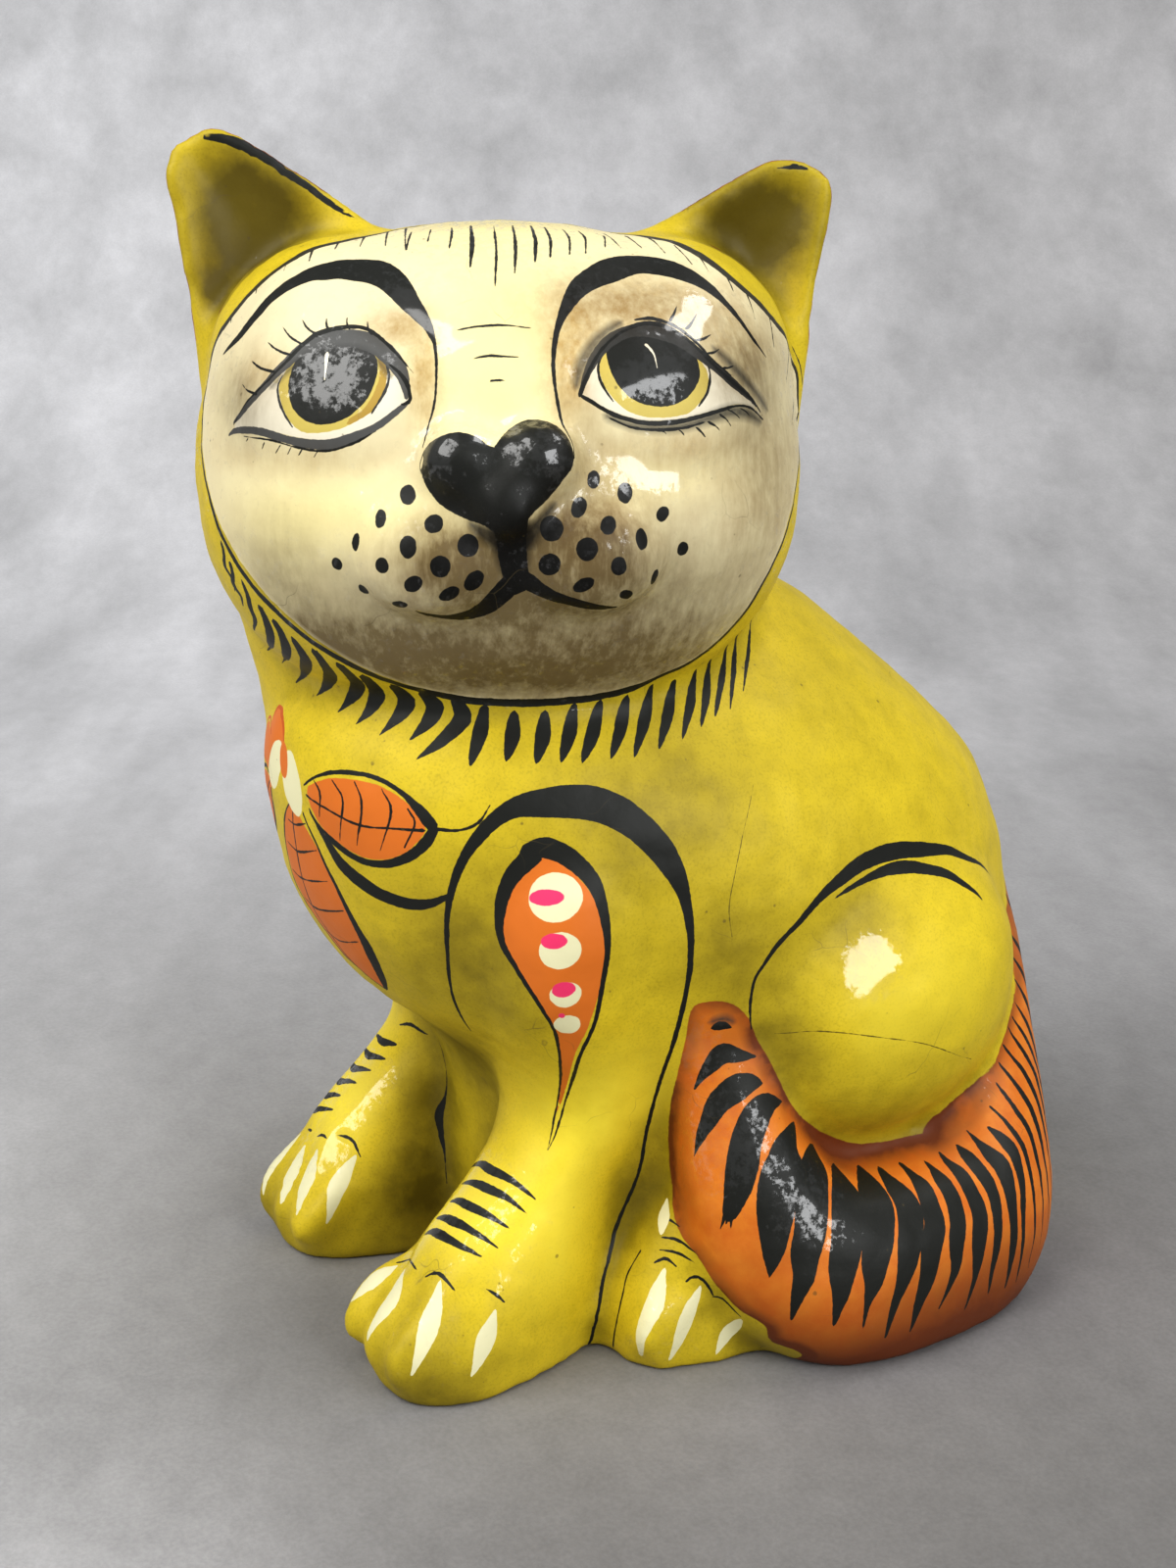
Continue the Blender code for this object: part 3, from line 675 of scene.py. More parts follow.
# The rows of whisker spots, each a short dab of the loaded brush.
for across, up, length, width, lean in [
        (-21, -1.8, 2.4, 1.9, -0.2), (-27.3, -7.2, 2.3, 1.5, -0.3), (-33.3, -12.8, 2.1, 1.4, 0.3),
        (-38, -18.1, 1.5, 1.3, 0), (-15.2, -8.1, 2.3, 2.1, 0.3), (-21.1, -13.1, 2.6, 2.0, 0),
        (-27.1, -17.5, 1.9, 1.8, 0), (-31.9, -23.9, 1.7, 1.5, 0.8), (-7.5, -12.9, 2.6, 2.4, 0),
        (-13.8, -17.5, 2.5, 2.3, 0), (-20, -21.6, 2.4, 1.8, 1.2), (-23.4, -26.7, 2.1, 1.2, 1.4),
        (-6.3, -21.1, 2.7, 2.2, 1), (-11.9, -24, 2.6, 1.7, 1.4), (21.1, 1.3, 2.2, 1.5, 0.3),
        (28.4, -1.9, 2.5, 1.9, 0.4), (37.3, -7, 2.0, 1.5, 1.5), (42.3, -15.4, 1.7, 1.6, 0),
        (17.7, -4.8, 2.6, 1.8, 0.4), (24.3, -8.7, 2.4, 1.8, 0.4), (32, -12, 2.4, 1.7, 0.2),
        (35.3, -21.2, 2.0, 1.5, -0.2), (11.4, -9.4, 2.9, 2.6, 0), (19.3, -14, 2.7, 2.4, 0.2),
        (26.6, -18, 2.2, 1.9, -0.2), (28.4, -24.9, 1.9, 1.3, -1.2), (10.8, -17.5, 2.8, 2.4, 1.2),
        (18.6, -22.2, 2.6, 1.6, 1.5)]:
    spot(on_face((across, up))[0], length, width, BLACK, towards=up_face + lean * across_face)

# The fringe round the jaw: curved flicks at the cheek, fatter drops under the chin.
for begin, bow, end, width in [((-67.5, -14.5), (-67, -21), (-65, -27.5), 0.5),
                               ((-65.4, -19.5), (-65.2, -25.5), (-63.2, -31), 0.6),
                               ((-62.5, -24), (-61, -31), (-61.4, -38), 0.7),
                               ((-58.5, -30), (-56.6, -37.5), (-60, -45), 1.0),
                               ((-55, -33.5), (-52.8, -40.5), (-56.2, -48), 1.1),
                               ((-50.5, -38), (-48, -44.5), (-53, -53), 1.2),
                               ((-45.5, -40.5), (-42.2, -47.5), (-47, -55), 1.3),
                               ((-39.5, -44), (-35.4, -50), (-41.2, -58), 1.4),
                               ((-33.5, -47), (-30.8, -52.5), (-36.2, -60), 1.5),
                               ((-26.5, -49.5), (-23.4, -54), (-30.2, -62), 1.5),
                               ((-19.5, -51), (-16.5, -55.5), (-23, -63), 1.5),
                               ((-11.5, -53), (-10, -58), (-21.5, -67.4), 1.5)]:
    draw((*begin, width), (*between(begin, bow, 0.5, 0.4), 1.3 * width), (*bow, 1.5 * width),
         (*between(bow, end, 0.5, 0.9), 1.1 * width), (*end, 0.12))
for begin, end, width in [((-4.3, -54.5), (-8.2, -68.5), 1.9), ((2.8, -56.4), (0.6, -67.5), 1.9),
                          ((10.3, -56.4), (7.8, -68.3), 1.9), ((17.5, -55), (13.8, -68.3), 1.8),
                          ((24, -54.5), (19, -68.5), 1.8), ((30.7, -53.6), (26.2, -67.8), 1.7),
                          ((37, -51.4), (31.9, -67.9), 1.6), ((42.9, -50.8), (38.2, -66.5), 1.5),
                          ((48.6, -48.8), (44.3, -64.7), 1.3), ((52.6, -46.6), (49.3, -62.3), 1.2),
                          ((57.4, -43.5), (53.1, -60.4), 1.0), ((60.4, -39.4), (57.3, -59), 0.9),
                          ((65, -39), (61.2, -55.5), 0.6)]:
    middle = between(begin, end, 0.5, 0.5)
    draw((*begin, 0.45 * width), (*between(begin, middle, 0.4), 0.8 * width), (*middle, width),
         (*between(middle, end, 0.7), 0.55 * width), (*end, 0.12))


# ---- The coat ----------------------------------------------------------------------------------
# Folk ornament in the same enamels: a flower on the chest, an arch and a drop on each shoulder,
# stripes and claws on the paws, two bows over each haunch. The far side is kept plainer.

ORANGE = linear(216, 118, 40)
DEEP_ORANGE = linear(196, 92, 28)
CLAW_WHITE = linear(232, 227, 184)
PINK = linear(236, 62, 112)
CRACK_OLIVE = linear(96, 84, 24)
CLAW = (0.4, 2.0, 2.6, 2.1, 0.3)
TOE_LINE = (0.2, 0.5, 0.2)
MID_PLANE = -6.9


def far_side(*points):
    """The same places on the cat's right side."""
    return [(2 * MID_PLANE - x, y, z) for x, y, z in points]


def halfway(start, end):
    return tuple(0.5 * (first + last) for first, last in zip(start, end))


# The flower: a white boss in two halves, small petals, a veined leaf to each side and one hanging down.
patch([(6, -102, 156), (9, -101, 159), (15, -98, 161.5), (22, -93, 162), (28, -90, 161), (33, -87, 158),
       (36.5, -84, 154), (36.5, -84, 151), (33, -87, 146), (28, -91, 143), (22, -94, 142.5), (15, -98, 145),
       (9, -100, 149)], ORANGE)
patch([(-3, -102, 151), (3, -101, 146), (8, -99, 138), (12, -96, 128), (13.5, -93, 119), (13, -89, 110),
       (9, -84, 100), (8, -84, 99), (2, -87, 103), (-6, -90, 109), (-11, -94, 116), (-14, -96, 124),
       (-14, -98, 132), (-11, -100, 141)], ORANGE)
patch([(-16, -102, 153), (-19, -101, 146), (-24, -99, 138), (-30, -95, 132), (-36, -91, 130),
       (-41, -86, 131), (-43, -83, 135), (-41, -85, 141), (-36, -90, 146), (-29, -95, 151),
       (-22, -99, 154)], ORANGE)
patch([(-7, -104, 162), (-10, -104, 168), (-15, -103, 172), (-20, -101, 172), (-22, -99, 168),
       (-19, -101, 163), (-14, -103, 160)], ORANGE)
patch([(-14, -103, 160), (-19, -101, 164), (-25, -98, 166), (-29, -96, 163), (-28, -97, 159),
       (-22, -100, 156), (-16, -102, 156)], ORANGE)
stroke([(4, -102, 157), (9, -101, 160.5), (15, -98, 163), (22, -93, 163.5), (28, -90, 162.5),
        (33, -87, 159.5), (36.5, -84, 155.5), (38, -82, 152.5)], (0.3, 0.45, 0.6, 0.6, 0.6, 0.8, 1.6, 1.5))
stroke([(6, -102, 152), (9, -100, 148), (15, -98, 144), (22, -94, 141.5), (29, -91, 142), (34, -87, 145),
        (37, -84, 149), (38, -82, 152.5)], (0.4, 0.7, 1.0, 1.0, 1.1, 1.3, 1.5, 1.3))
stroke([(5, -102, 155), (12, -99, 153.5), (18, -97, 152), (24, -94, 151), (30, -90, 151.5), (37, -84, 152)],
       (0.35, 0.3, 0.3, 0.3, 0.3, 0.5))
for rib in [[(8, -101, 160), (11, -100, 156.5), (10, -100, 149.5)],
            [(14, -98, 161), (18, -97, 156), (16, -97, 145.5)],
            [(20, -95, 162), (23, -94, 156), (21, -95, 144.5)],
            [(27, -91, 161), (30, -90, 155.5), (27, -92, 144)],
            [(33, -87, 157), (35, -86, 153.5), (33, -88, 147)]]:
    stroke(rib, (0.15, 0.35, 0.15))
stroke([(38, -82, 152.5), (42, -78, 152.5), (45, -74, 154.5), (46, -71, 159)], (0.5, 0.35, 0.4, 0.12))
stroke([(8, -100, 149), (11, -98.5, 144.5), (15, -97, 139), (20, -94.5, 135.5), (25, -91.5, 133),
        (31, -87, 131.7), (36, -83, 132.5), (41, -79, 136)], (0.35, 1.2, 1.9, 2.1, 1.9, 1.7, 1.3, 0.4))
stroke([(3, -102, 150), (6, -100, 143), (9, -98, 136), (12, -96, 129), (14, -93, 121), (14, -90, 114),
        (12, -86, 106), (8, -83, 98.5)], (0.3, 0.4, 0.5, 0.8, 1.3, 1.9, 1.7, 0.7))
stroke([(-3, -102, 151), (-7, -102, 147), (-11, -101, 141), (-14.5, -98.5, 131), (-14.5, -96, 122),
        (-11, -94, 115), (-5, -90, 108), (2, -87, 103), (8, -83, 98.5)], (0.2, 0.35, 0.4, 0.4, 0.4, 0.3))
stroke([(-2, -102, 149), (-4, -101, 141), (-6, -99, 129), (-7, -95, 118), (-4, -91, 110), (3, -86, 102)],
       (0.3, 0.3, 0.3, 0.3, 0.25, 0.2))
for rib in [[(-7, -101, 145.5), (-2, -102, 145), (4, -101, 147)],
            [(-11, -100, 138), (-4, -100, 137), (6, -100, 140)],
            [(-13, -98, 129), (-6, -99, 128.5), (8, -98, 132)],
            [(-13, -96, 120.5), (-4, -96, 120.5), (11, -94, 125)],
            [(-8, -93, 112), (0, -92, 112), (12, -90, 116.5)]]:
    stroke(rib, (0.12, 0.35, 0.15))
stroke([(-16, -102, 154), (-22, -99, 155), (-29, -95, 152), (-36, -90, 147), (-41, -85, 142),
        (-44, -82, 136)], (0.3, 0.5, 0.6, 0.7, 1.2, 1.4))
stroke([(-17, -102, 151), (-20, -101, 144), (-25, -98, 136.5), (-31, -94, 131), (-37, -90, 129),
        (-42, -85, 130.5), (-44, -82, 136)], (0.4, 0.9, 1.1, 1.1, 1.2, 1.4, 1.3))
stroke([(-17, -102, 153), (-24, -98, 147), (-32, -93, 141), (-43, -83, 136)], (0.35, 0.3, 0.3, 0.4))
for rib in [[(-21, -100, 154), (-23, -99, 148.5), (-20, -101, 145)],
            [(-27, -96, 152), (-29, -95, 144), (-25, -98, 138)],
            [(-34, -92, 148), (-35, -91, 140), (-31, -94, 132.5)]]:
    stroke(rib, (0.15, 0.3, 0.15))
stroke([(-44, -82, 136), (-48, -78, 135), (-51, -74, 137), (-52, -71, 142)], (0.5, 0.35, 0.4, 0.12))
for petal in [[(-7, -104, 163), (-10, -104, 169), (-15, -103, 173), (-20, -101, 172.5), (-22, -99, 168)],
              [(-18, -102, 165), (-25, -98, 167), (-29.5, -96, 163.5), (-28, -97, 158.5),
               (-22, -100, 155.5)]]:
    stroke(petal, (0.25, 0.6, 0.3), DEEP_ORANGE)
spot((-2, -103, 156), 8.4, 4.6, CLAW_WHITE, towards=(-0.35, 0, 1))
spot((-13, -103, 158), 7.5, 4.2, CLAW_WHITE, towards=(0.5, 0, 1))
spot((-7, -103, 161), 4.6, 2.3, ORANGE, towards=(-0.3, 0, 1))

# The shoulder arches, thick over the top, and the drop within the near one.
arch = [(44.5, -43, 1), (46.5, -42, 8), (47, -40, 19), (44, -36, 27), (43, -32, 36), (45, -28, 48),
        (48, -27, 63), (55, -27, 81), (61, -27, 93), (65, -26, 109), (66, -26, 122), (66, -28, 134),
        (64, -32, 144), (60, -39, 153), (56, -47, 158), (52, -57, 159), (47, -67, 157), (44, -75, 149),
        (42, -79, 140), (39.5, -80, 131), (37, -79, 120), (33, -76, 108), (30, -72, 98), (26, -67, 91)]
arch_widths = (0.4, 0.45, 0.5, 0.5, 0.5, 0.5, 0.5, 0.5, 0.6, 0.7, 0.9, 1.7, 3.2, 3.9, 4.3, 3.8, 2.3, 1.5,
               1.1, 0.8, 0.6, 0.4, 0.35, 0.2)
stroke(arch, arch_widths)
stroke(far_side(*arch[8:]), arch_widths[8:])
stroke([(53, -32, 31), (52, -35, 24), (53, -37, 18), (53, -39, 11), (51, -40, 1)], 0.3)
drop = [(52.5, -64, 147), (56, -58, 145), (59, -53, 140.5), (62.5, -49.5, 133), (63.5, -49, 124),
        (62.5, -50, 113), (60, -51.5, 103), (55, -53, 92), (46, -51, 77), (43, -52, 70), (48, -53, 83),
        (54, -57, 95), (56, -60, 103), (55.5, -64.5, 111), (52.5, -68.5, 118.5), (50, -70, 125),
        (50, -70, 132), (51, -68.5, 140)]
patch(drop, ORANGE)
stroke([(42, -54, 60), (42, -52, 69), (48, -53, 83), (54, -57, 95), (56, -60, 103), (55.5, -64.5, 111),
        (52.5, -68.5, 118.5), (49, -70.5, 125), (49, -70.5, 133), (50.5, -68, 141), (53, -62.5, 147.5)],
       (0.12, 0.3, 0.35, 0.45, 0.5, 0.6, 0.8, 1.1, 1.5, 2.1, 2.6))
stroke([(52, -65, 147), (54.5, -60.5, 148.5), (57.5, -55.5, 146), (60.5, -51, 140.5), (63.5, -49, 132),
        (64, -48.5, 123), (63, -49.5, 113), (61, -50.5, 103), (56, -52, 92), (46.5, -50.5, 76.5),
        (42, -54, 60)], (2.2, 2.6, 2.4, 2.0, 1.4, 0.85, 0.7, 0.6, 0.5, 0.35, 0.15))
for middle, size in [((58, -60, 137), 6.6), ((60.5, -60, 124), 5.2), ((60.5, -58.5, 112), 3.9),
                     ((58.5, -57, 103), 3.4)]:
    spot(middle, size, 0.92 * size, CLAW_WHITE, towards=(1, 1, 0.4))
for middle, length, width in [((57, -62, 137), 4.4, 2.0), ((60, -61.5, 126.5), 3.3, 2.0),
                              ((60.5, -59, 113.5), 2.9, 2.2)]:
    spot(middle, length, width, PINK, towards=(1, 1, 0.15))
spot((58.5, -58.5, 106), 0.8, 0.8, PINK)
# The far drop is only outlined.
far_drop = far_side((53, -63, 146), (60, -53, 138), (63, -49, 124), (60, -51, 103), (46, -51, 77),
                    (54, -57, 95), (55, -65, 111), (50, -70, 128), (50, -69, 140))
stroke(far_drop + far_drop[:1], (2.2, 1.4, 0.8, 0.5, 0.3, 0.4, 0.6, 1.1, 1.9, 2.2))

# The forelegs: thin stripes above the paws, then claws under little hooked toe lines.
for line in [[(19, -66, 49), (25, -64.5, 51.5), (31, -64, 52), (39, -62, 52), (46, -59, 49)],
             [(22, -70, 46.5), (28, -68.5, 48.5), (34, -67, 49), (41, -65, 49), (46, -62, 46)],
             [(24, -74, 43), (28, -73, 44.5), (34, -72, 45), (41, -70, 45), (46, -67, 43)],
             [(24, -78, 39), (28, -77, 40.5), (33, -76, 41), (41, -74, 41), (47, -71, 39)],
             [(24, -82, 35.5), (28, -80.5, 37.5), (32, -80, 38), (40, -78, 38), (46, -75, 37)]]:
    stroke(line, (0.3, 1.0, 1.3, 0.8, 0.2))
for claw in [[(22.5, -88, 26), (20, -94, 22.5), (18.5, -99, 16)],
             [(28, -88, 28), (32, -94, 22), (32, -101, 13)], [(42, -85, 31), (47, -91, 23), (48, -97, 11)],
             [(52, -75, 25), (53.5, -78.5, 18), (54, -83, 9)]]:
    stroke(claw, CLAW, CLAW_WHITE)
for toe in [[(20.5, -88, 26), (23, -87, 28), (26, -86, 29.5), (33, -87, 30)],
            [(37, -87, 30), (40, -84, 31.5), (46, -83, 29.5)],
            [(49, -76, 30), (51, -74, 28.5), (52.5, -72, 26)]]:
    stroke(toe, TOE_LINE)
stroke([(-28, -55, 65), (-35, -56, 66.5), (-42, -57, 64)], (0.15, 0.6, 0.15))
for begin, end in [((-38, -58.5, 59.5), (-46, -60, 58)), ((-39, -62, 55.5), (-49, -63, 53)),
                   ((-42, -66, 52), (-52, -67, 49)), ((-44, -70, 48.5), (-55, -71, 45)),
                   ((-46, -74, 44.5), (-57, -75, 41)), ((-45, -77, 41), (-58, -79, 37))]:
    beyond = (end[0] - 7, end[1] + 6, end[2] - 5)
    stroke([begin, halfway(begin, end), end, beyond], (0.2, 0.9, 1.2, 0.3))
for claw in [[(-31, -76, 32), (-30, -82, 25), (-28, -87, 14)],
             [(-42, -85, 32), (-39, -90, 25), (-34, -97, 18)],
             [(-49, -86, 31), (-47, -92, 25), (-43, -97, 16)],
             [(-58, -82, 29), (-59, -88, 22), (-57, -93, 12)]]:
    stroke(claw, CLAW, CLAW_WHITE)
for toe in [[(-38, -79, 36), (-34, -76, 35.5), (-30, -75, 31.5)],
            [(-46, -83, 34), (-43, -82.5, 35.5), (-40, -82, 35)],
            [(-55, -83, 32.5), (-52, -84, 34), (-49.5, -83, 34)]]:
    stroke(toe, TOE_LINE)
stroke([(-25, -53, 66), (-23, -51, 56), (-24, -50, 48), (-25, -52, 42), (-24, -52, 36), (-22, -52, 30),
        (-21, -52, 21)], (0.12, 0.2, 0.4, 1.3, 0.9, 0.25, 0.15))

# The hind feet and the bows over the haunches.
hind_foot = [
    ([(62, -30, 29), (64, -35, 20), (62.5, -38, 4)], (0.4, 2.1, 2.7, 2.2, 0.4), CLAW_WHITE),
    ([(68, -22.5, 24.5), (69, -27, 15), (66.5, -31, 4)], (0.4, 2.0, 2.4, 1.9, 0.4), CLAW_WHITE),
    ([(75, -14, 16), (71.5, -15.5, 9), (69, -18, 3)], (0.4, 1.8, 2.0, 1.5, 0.3), CLAW_WHITE),
    ([(58, -31, 28.5), (61, -29, 31), (64, -27, 29)], TOE_LINE, BLACK),
    ([(66, -26, 25.5), (67, -24, 27), (69, -22, 26), (70.5, -20, 21)], TOE_LINE, BLACK),
    ([(70, -20, 21), (72, -18, 20.5), (75.5, -14, 16.5)], (0.2, 0.45, 0.2), BLACK),
    ([(57, -29, 35.5), (62, -26, 36), (67.5, -22.5, 33.5)], (0.15, 0.4, 0.15), BLACK),
    ([(58, -30, 32.5), (63, -27, 33), (67, -24, 31)], (0.15, 0.4, 0.15), BLACK),
    ([(53, -27, 38.5), (57, -25.5, 39.5), (61, -24.5, 39)], (0.15, 0.35, 0.15), BLACK)]
for points, widths, paint in hind_foot:
    stroke(points, widths, paint)
    stroke(far_side(*points), widths, paint)
stroke([(53, -25, 44), (55, -26.5, 40), (57, -28, 36)], (0.4, 2.0, 0.6), CLAW_WHITE)
upper_bow = [(65, -7, 93), (67.5, -8.5, 100), (68, -8, 108), (69, -5, 113), (70, -2, 117), (70, 4, 122),
             (70, 10, 127), (69, 17, 130.5), (67, 26, 133.5), (66, 37, 134), (64, 48, 132), (61, 58, 129),
             (59, 67, 124.5), (56, 75, 120), (54, 80, 115)]
upper_widths = (0.15, 0.35, 0.45, 0.55, 0.7, 0.9, 1.2, 1.8, 2.3, 2.3, 2.0, 1.5, 1.1, 0.6, 0.15)
lower_bow = [(69, 15, 126), (69, 21, 128), (68, 29, 129.5), (67.5, 37, 130), (67, 45, 128.5),
             (67, 53, 125.5), (67.5, 58, 122), (68, 62, 119), (69, 65, 116)]
lower_widths = (0.15, 0.7, 1.2, 1.7, 1.7, 1.6, 1.2, 0.8, 0.2)
for points, widths in [(upper_bow, upper_widths), (lower_bow, lower_widths)]:
    stroke(points, widths)
    stroke(far_side(*points), widths)

# Two hairline cracks over the flank and the haunch.
for crack in [[(61, -5, 158), (66, -11, 147), (68, -15, 135), (68, -16, 128), (68, -15, 121)],
              [(69, -2, 92), (76, 9, 93), (80, 23, 90), (82, 38, 85), (76, 58, 74)]]:
    stroke(crack, (0.05, 0.1, 0.08, 0.1, 0.05), CRACK_OLIVE)


# ---- The tail and the ears ---------------------------------------------------------------------
# The tail curls forward along the left flank. It is flat orange, like the backs of the ears, and
# wears black brush strokes laid side by side over its rounded top and drawn down to points.

tail_course = np.array([(-44, 88, 128, 5), (-34, 92, 123, 10), (-7, 99, 112, 17), (19, 91, 92, 20),
                        (39, 81, 65, 23), (53, 73, 40, 26), (61, 64, 21, 29), (66, 39, 18, 29)], float) * MM
tail_edge = np.full(vertex_count, -1.0)
for place in flowing(tail_course[:, :3], tail_course[:, 3], 3 * MM):
    tail_edge = np.maximum(tail_edge, 1.07 * place[3] - np.linalg.norm(places - place[:3], axis=1))

# Seen from the side, the near stretch of it and its root over the haunch have this edge.
tail_side = [(-21.5, 102), (-22.5, 93), (-24, 80), (-24.8, 71), (-24.6, 58), (-23.8, 48), (-24.3, 41),
             (-23, 37), (-19.5, 33), (-15, 26), (-9.5, 20), (-2.5, 16), (0, 10), (8.5, 6), (14, -9),
             (126, -9), (126, 100), (118, 100), (110, 96), (105, 91), (100, 87), (93, 83), (89.5, 80),
             (84.5, 76), (79.5, 70), (77, 66), (73, 61), (68, 56), (63, 52), (56, 50), (46, 50), (36, 51),
             (29, 53), (20.5, 58), (13, 65), (7.5, 72), (4.5, 78), (1, 85), (-2.5, 91), (-4.5, 96),
             (-6.5, 99), (-11, 102.5), (-17, 103.5)]
on_left = np.flatnonzero(places[:, 0] > 48 * MM)
seen_y = places[on_left, 1] + 0.35 * (places[on_left, 0] - 57 * MM)
seen = np.column_stack([seen_y, places[on_left, 2]])
tail_edge[on_left] = np.maximum(tail_edge[on_left], edge_distance(seen, closed(tail_side) * MM))

# The strokes that show beside the cat, each with its places and half widths.
for pull in [
        [(67, -6, 86, 0.2), (66, -11, 87, 1.5), (65, -15, 88, 2.3), (64, -18, 85, 1.7), (63, -20, 82, 0.9),
         (62, -22, 78, 0.1)],
        [(69, -5, 79, 0.2), (69, -9, 80, 2.2), (68, -13, 79, 3.0), (67, -17, 76, 2.6), (67, -20, 72, 2.0),
         (66, -22, 67, 1.2), (65, -23, 61, 0.1)],
        [(70, 0, 73, 0.2), (71, -5, 74, 2.5), (72, -9, 72, 3.4), (74, -13, 67, 3.5), (75, -15, 61, 3.6),
         (76, -17, 55, 3.0), (76, -19, 49, 1.8), (76, -19.5, 47, 1.2)],
        [(72, 3, 67, 0.7), (76, -2, 64, 3.2), (78, -4, 60, 4.6), (80, -7, 55, 4.7), (82, -9, 49, 4.3),
         (83, -10, 43, 3.3), (84, -11, 38, 2.3), (84, -12, 32, 0.2)],
        [(71, 10, 58, 1.2), (77, 7, 57, 4.0), (81, 3, 54, 4.6), (84, 1, 49, 4.2), (86, -1, 43, 3.8),
         (87, -3, 38, 3.4), (88, -4, 32, 2.5), (88, -6, 26, 1.4), (87, -7, 19, 0.2)],
        [(70, 18, 51, 0.3), (76, 15, 50, 2.6), (82, 13, 48, 4.2), (87, 10, 44, 4.0), (90, 8, 39, 3.8),
         (91, 6, 33, 3.4), (92, 5, 27, 2.2), (92, 4, 22, 1.2), (92, 3, 17, 0.2)],
        [(70, 26, 48, 0.4), (76, 24, 47, 2.2), (82, 22, 46, 3.8), (87, 20, 43, 4.2), (91, 17, 38, 4.1),
         (93, 15, 33, 3.5), (94, 14, 28, 2.4), (94, 12, 22, 0.8), (94, 11, 15, 0.2)],
        [(72, 31, 47, 0.4), (77, 30, 46, 1.6), (82, 30, 45, 2.9), (87, 30, 42, 3.4), (91, 28, 38, 3.5),
         (93, 26, 34, 3.2), (95, 24, 29, 2.5), (95, 21, 22, 1.3), (95, 19, 16, 0.8), (95, 18, 10, 0.2)],
        [(72, 38, 47, 0.4), (77, 38, 46, 1.0), (82, 38, 44, 2.2), (87, 37, 41, 2.6), (91, 36, 37, 2.9),
         (94, 33, 32, 3.0), (95, 31, 25, 2.4), (95, 28, 18, 1.3), (95, 26, 10, 0.2)],
        [(74, 45, 46, 0.3), (78, 45, 45, 1.0), (82, 45, 44, 2.1), (87, 45, 41, 2.3), (90, 44, 36, 2.4),
         (93, 42, 31, 2.4), (94, 41, 25, 1.5), (95, 38, 19, 0.6), (95, 35, 14, 0.15)],
        [(73, 51, 47, 0.3), (77, 51, 45, 1.1), (81, 52, 44, 1.9), (86, 52, 40, 2.2), (90, 52, 35, 2.4),
         (92, 50, 29, 2.3), (93, 49, 24, 1.7), (94, 48, 19, 0.9), (94, 45, 10, 0.2)],
        [(74, 56, 48, 0.3), (77, 57, 46, 1.4), (81, 58, 43, 1.9), (86, 59, 39, 1.8), (90, 58, 33, 1.5),
         (92, 57, 27, 1.3), (93, 55, 19, 0.8), (93, 54, 12, 0.2)],
        [(73, 60, 51, 0.2), (77, 61, 49, 0.7), (80, 63, 46, 1.7), (83, 65, 43, 2.2), (87, 65, 38, 1.8),
         (90, 64, 31, 1.5), (91, 63, 22, 1.2), (92, 61, 11, 0.2)],
        [(76, 65, 52, 0.3), (80, 68, 49, 1.4), (82, 70, 45, 1.5), (86, 70, 38, 1.1), (89, 68, 30, 0.8),
         (91, 67, 18, 0.5), (91, 66, 10, 0.1)]]:
    stroke([step[:3] for step in pull], [1.18 * step[3] for step in pull])
for lean in (-1.3, -0.1, 1.1):
    stroke([(76 + 0.2 * lean, -19 + 0.4 * lean, 50), (75.8 + 0.3 * lean, -19.6 + 0.7 * lean, 47.5),
            (75.4 + 0.5 * lean, -20 + 1.2 * lean, 45 - abs(lean))], (0.8, 0.6, 0.1))
stroke([(64, -18, 95.5), (64.5, -16.5, 96), (65, -14.5, 95.8), (65.3, -12.8, 95)], (0.5, 1.4, 1.1, 0.2))
stroke([(64, -18.5, 97.5), (65, -15, 98), (65.5, -12, 96.5)], (0.9, 1.2, 0.6), thinned(SMOKE))

# Further back they are thin. The placed ones are listed one by one, and the rest fall between them.
placed = [15, 18, 21, 24, 28, 32]
begins = [(73, 68, 57), (66, 77, 71), (59, 87, 78), (44.5, 94, 93), (6.5, 107, 122), (-29, 101, 128)]
fullests = [(82, 74, 44), (74, 86, 52), (63, 96, 60), (44, 103, 76), (2, 115, 109), (-33, 105, 123)]
ends = [(90, 72, 14), (78, 88, 20), (64, 99, 28), (44, 104, 53), (-1, 112, 97), (-35.5, 102, 118)]
sizes = [0.9, 1.1, 1.3, 1.7, 1.9, 1.2]
for number in range(15, 32):
    begin, full, end = (np.array([np.interp(number, placed, side) for side in zip(*points)])
                        for points in (begins, fullests, ends))
    size = np.interp(number, placed, sizes)
    slip = 1.2 * math.sin(2.4 * number)
    stroke([begin + 0.4 * slip, 0.5 * (begin + full) + (0, 0, 1), full,
            0.5 * (full + end) + (0, 0, 1 + 0.5 * slip), end + (0, 0, 1.6 * slip)],
           (0.25, 0.75 * size, size, 0.65 * size, 0.1))

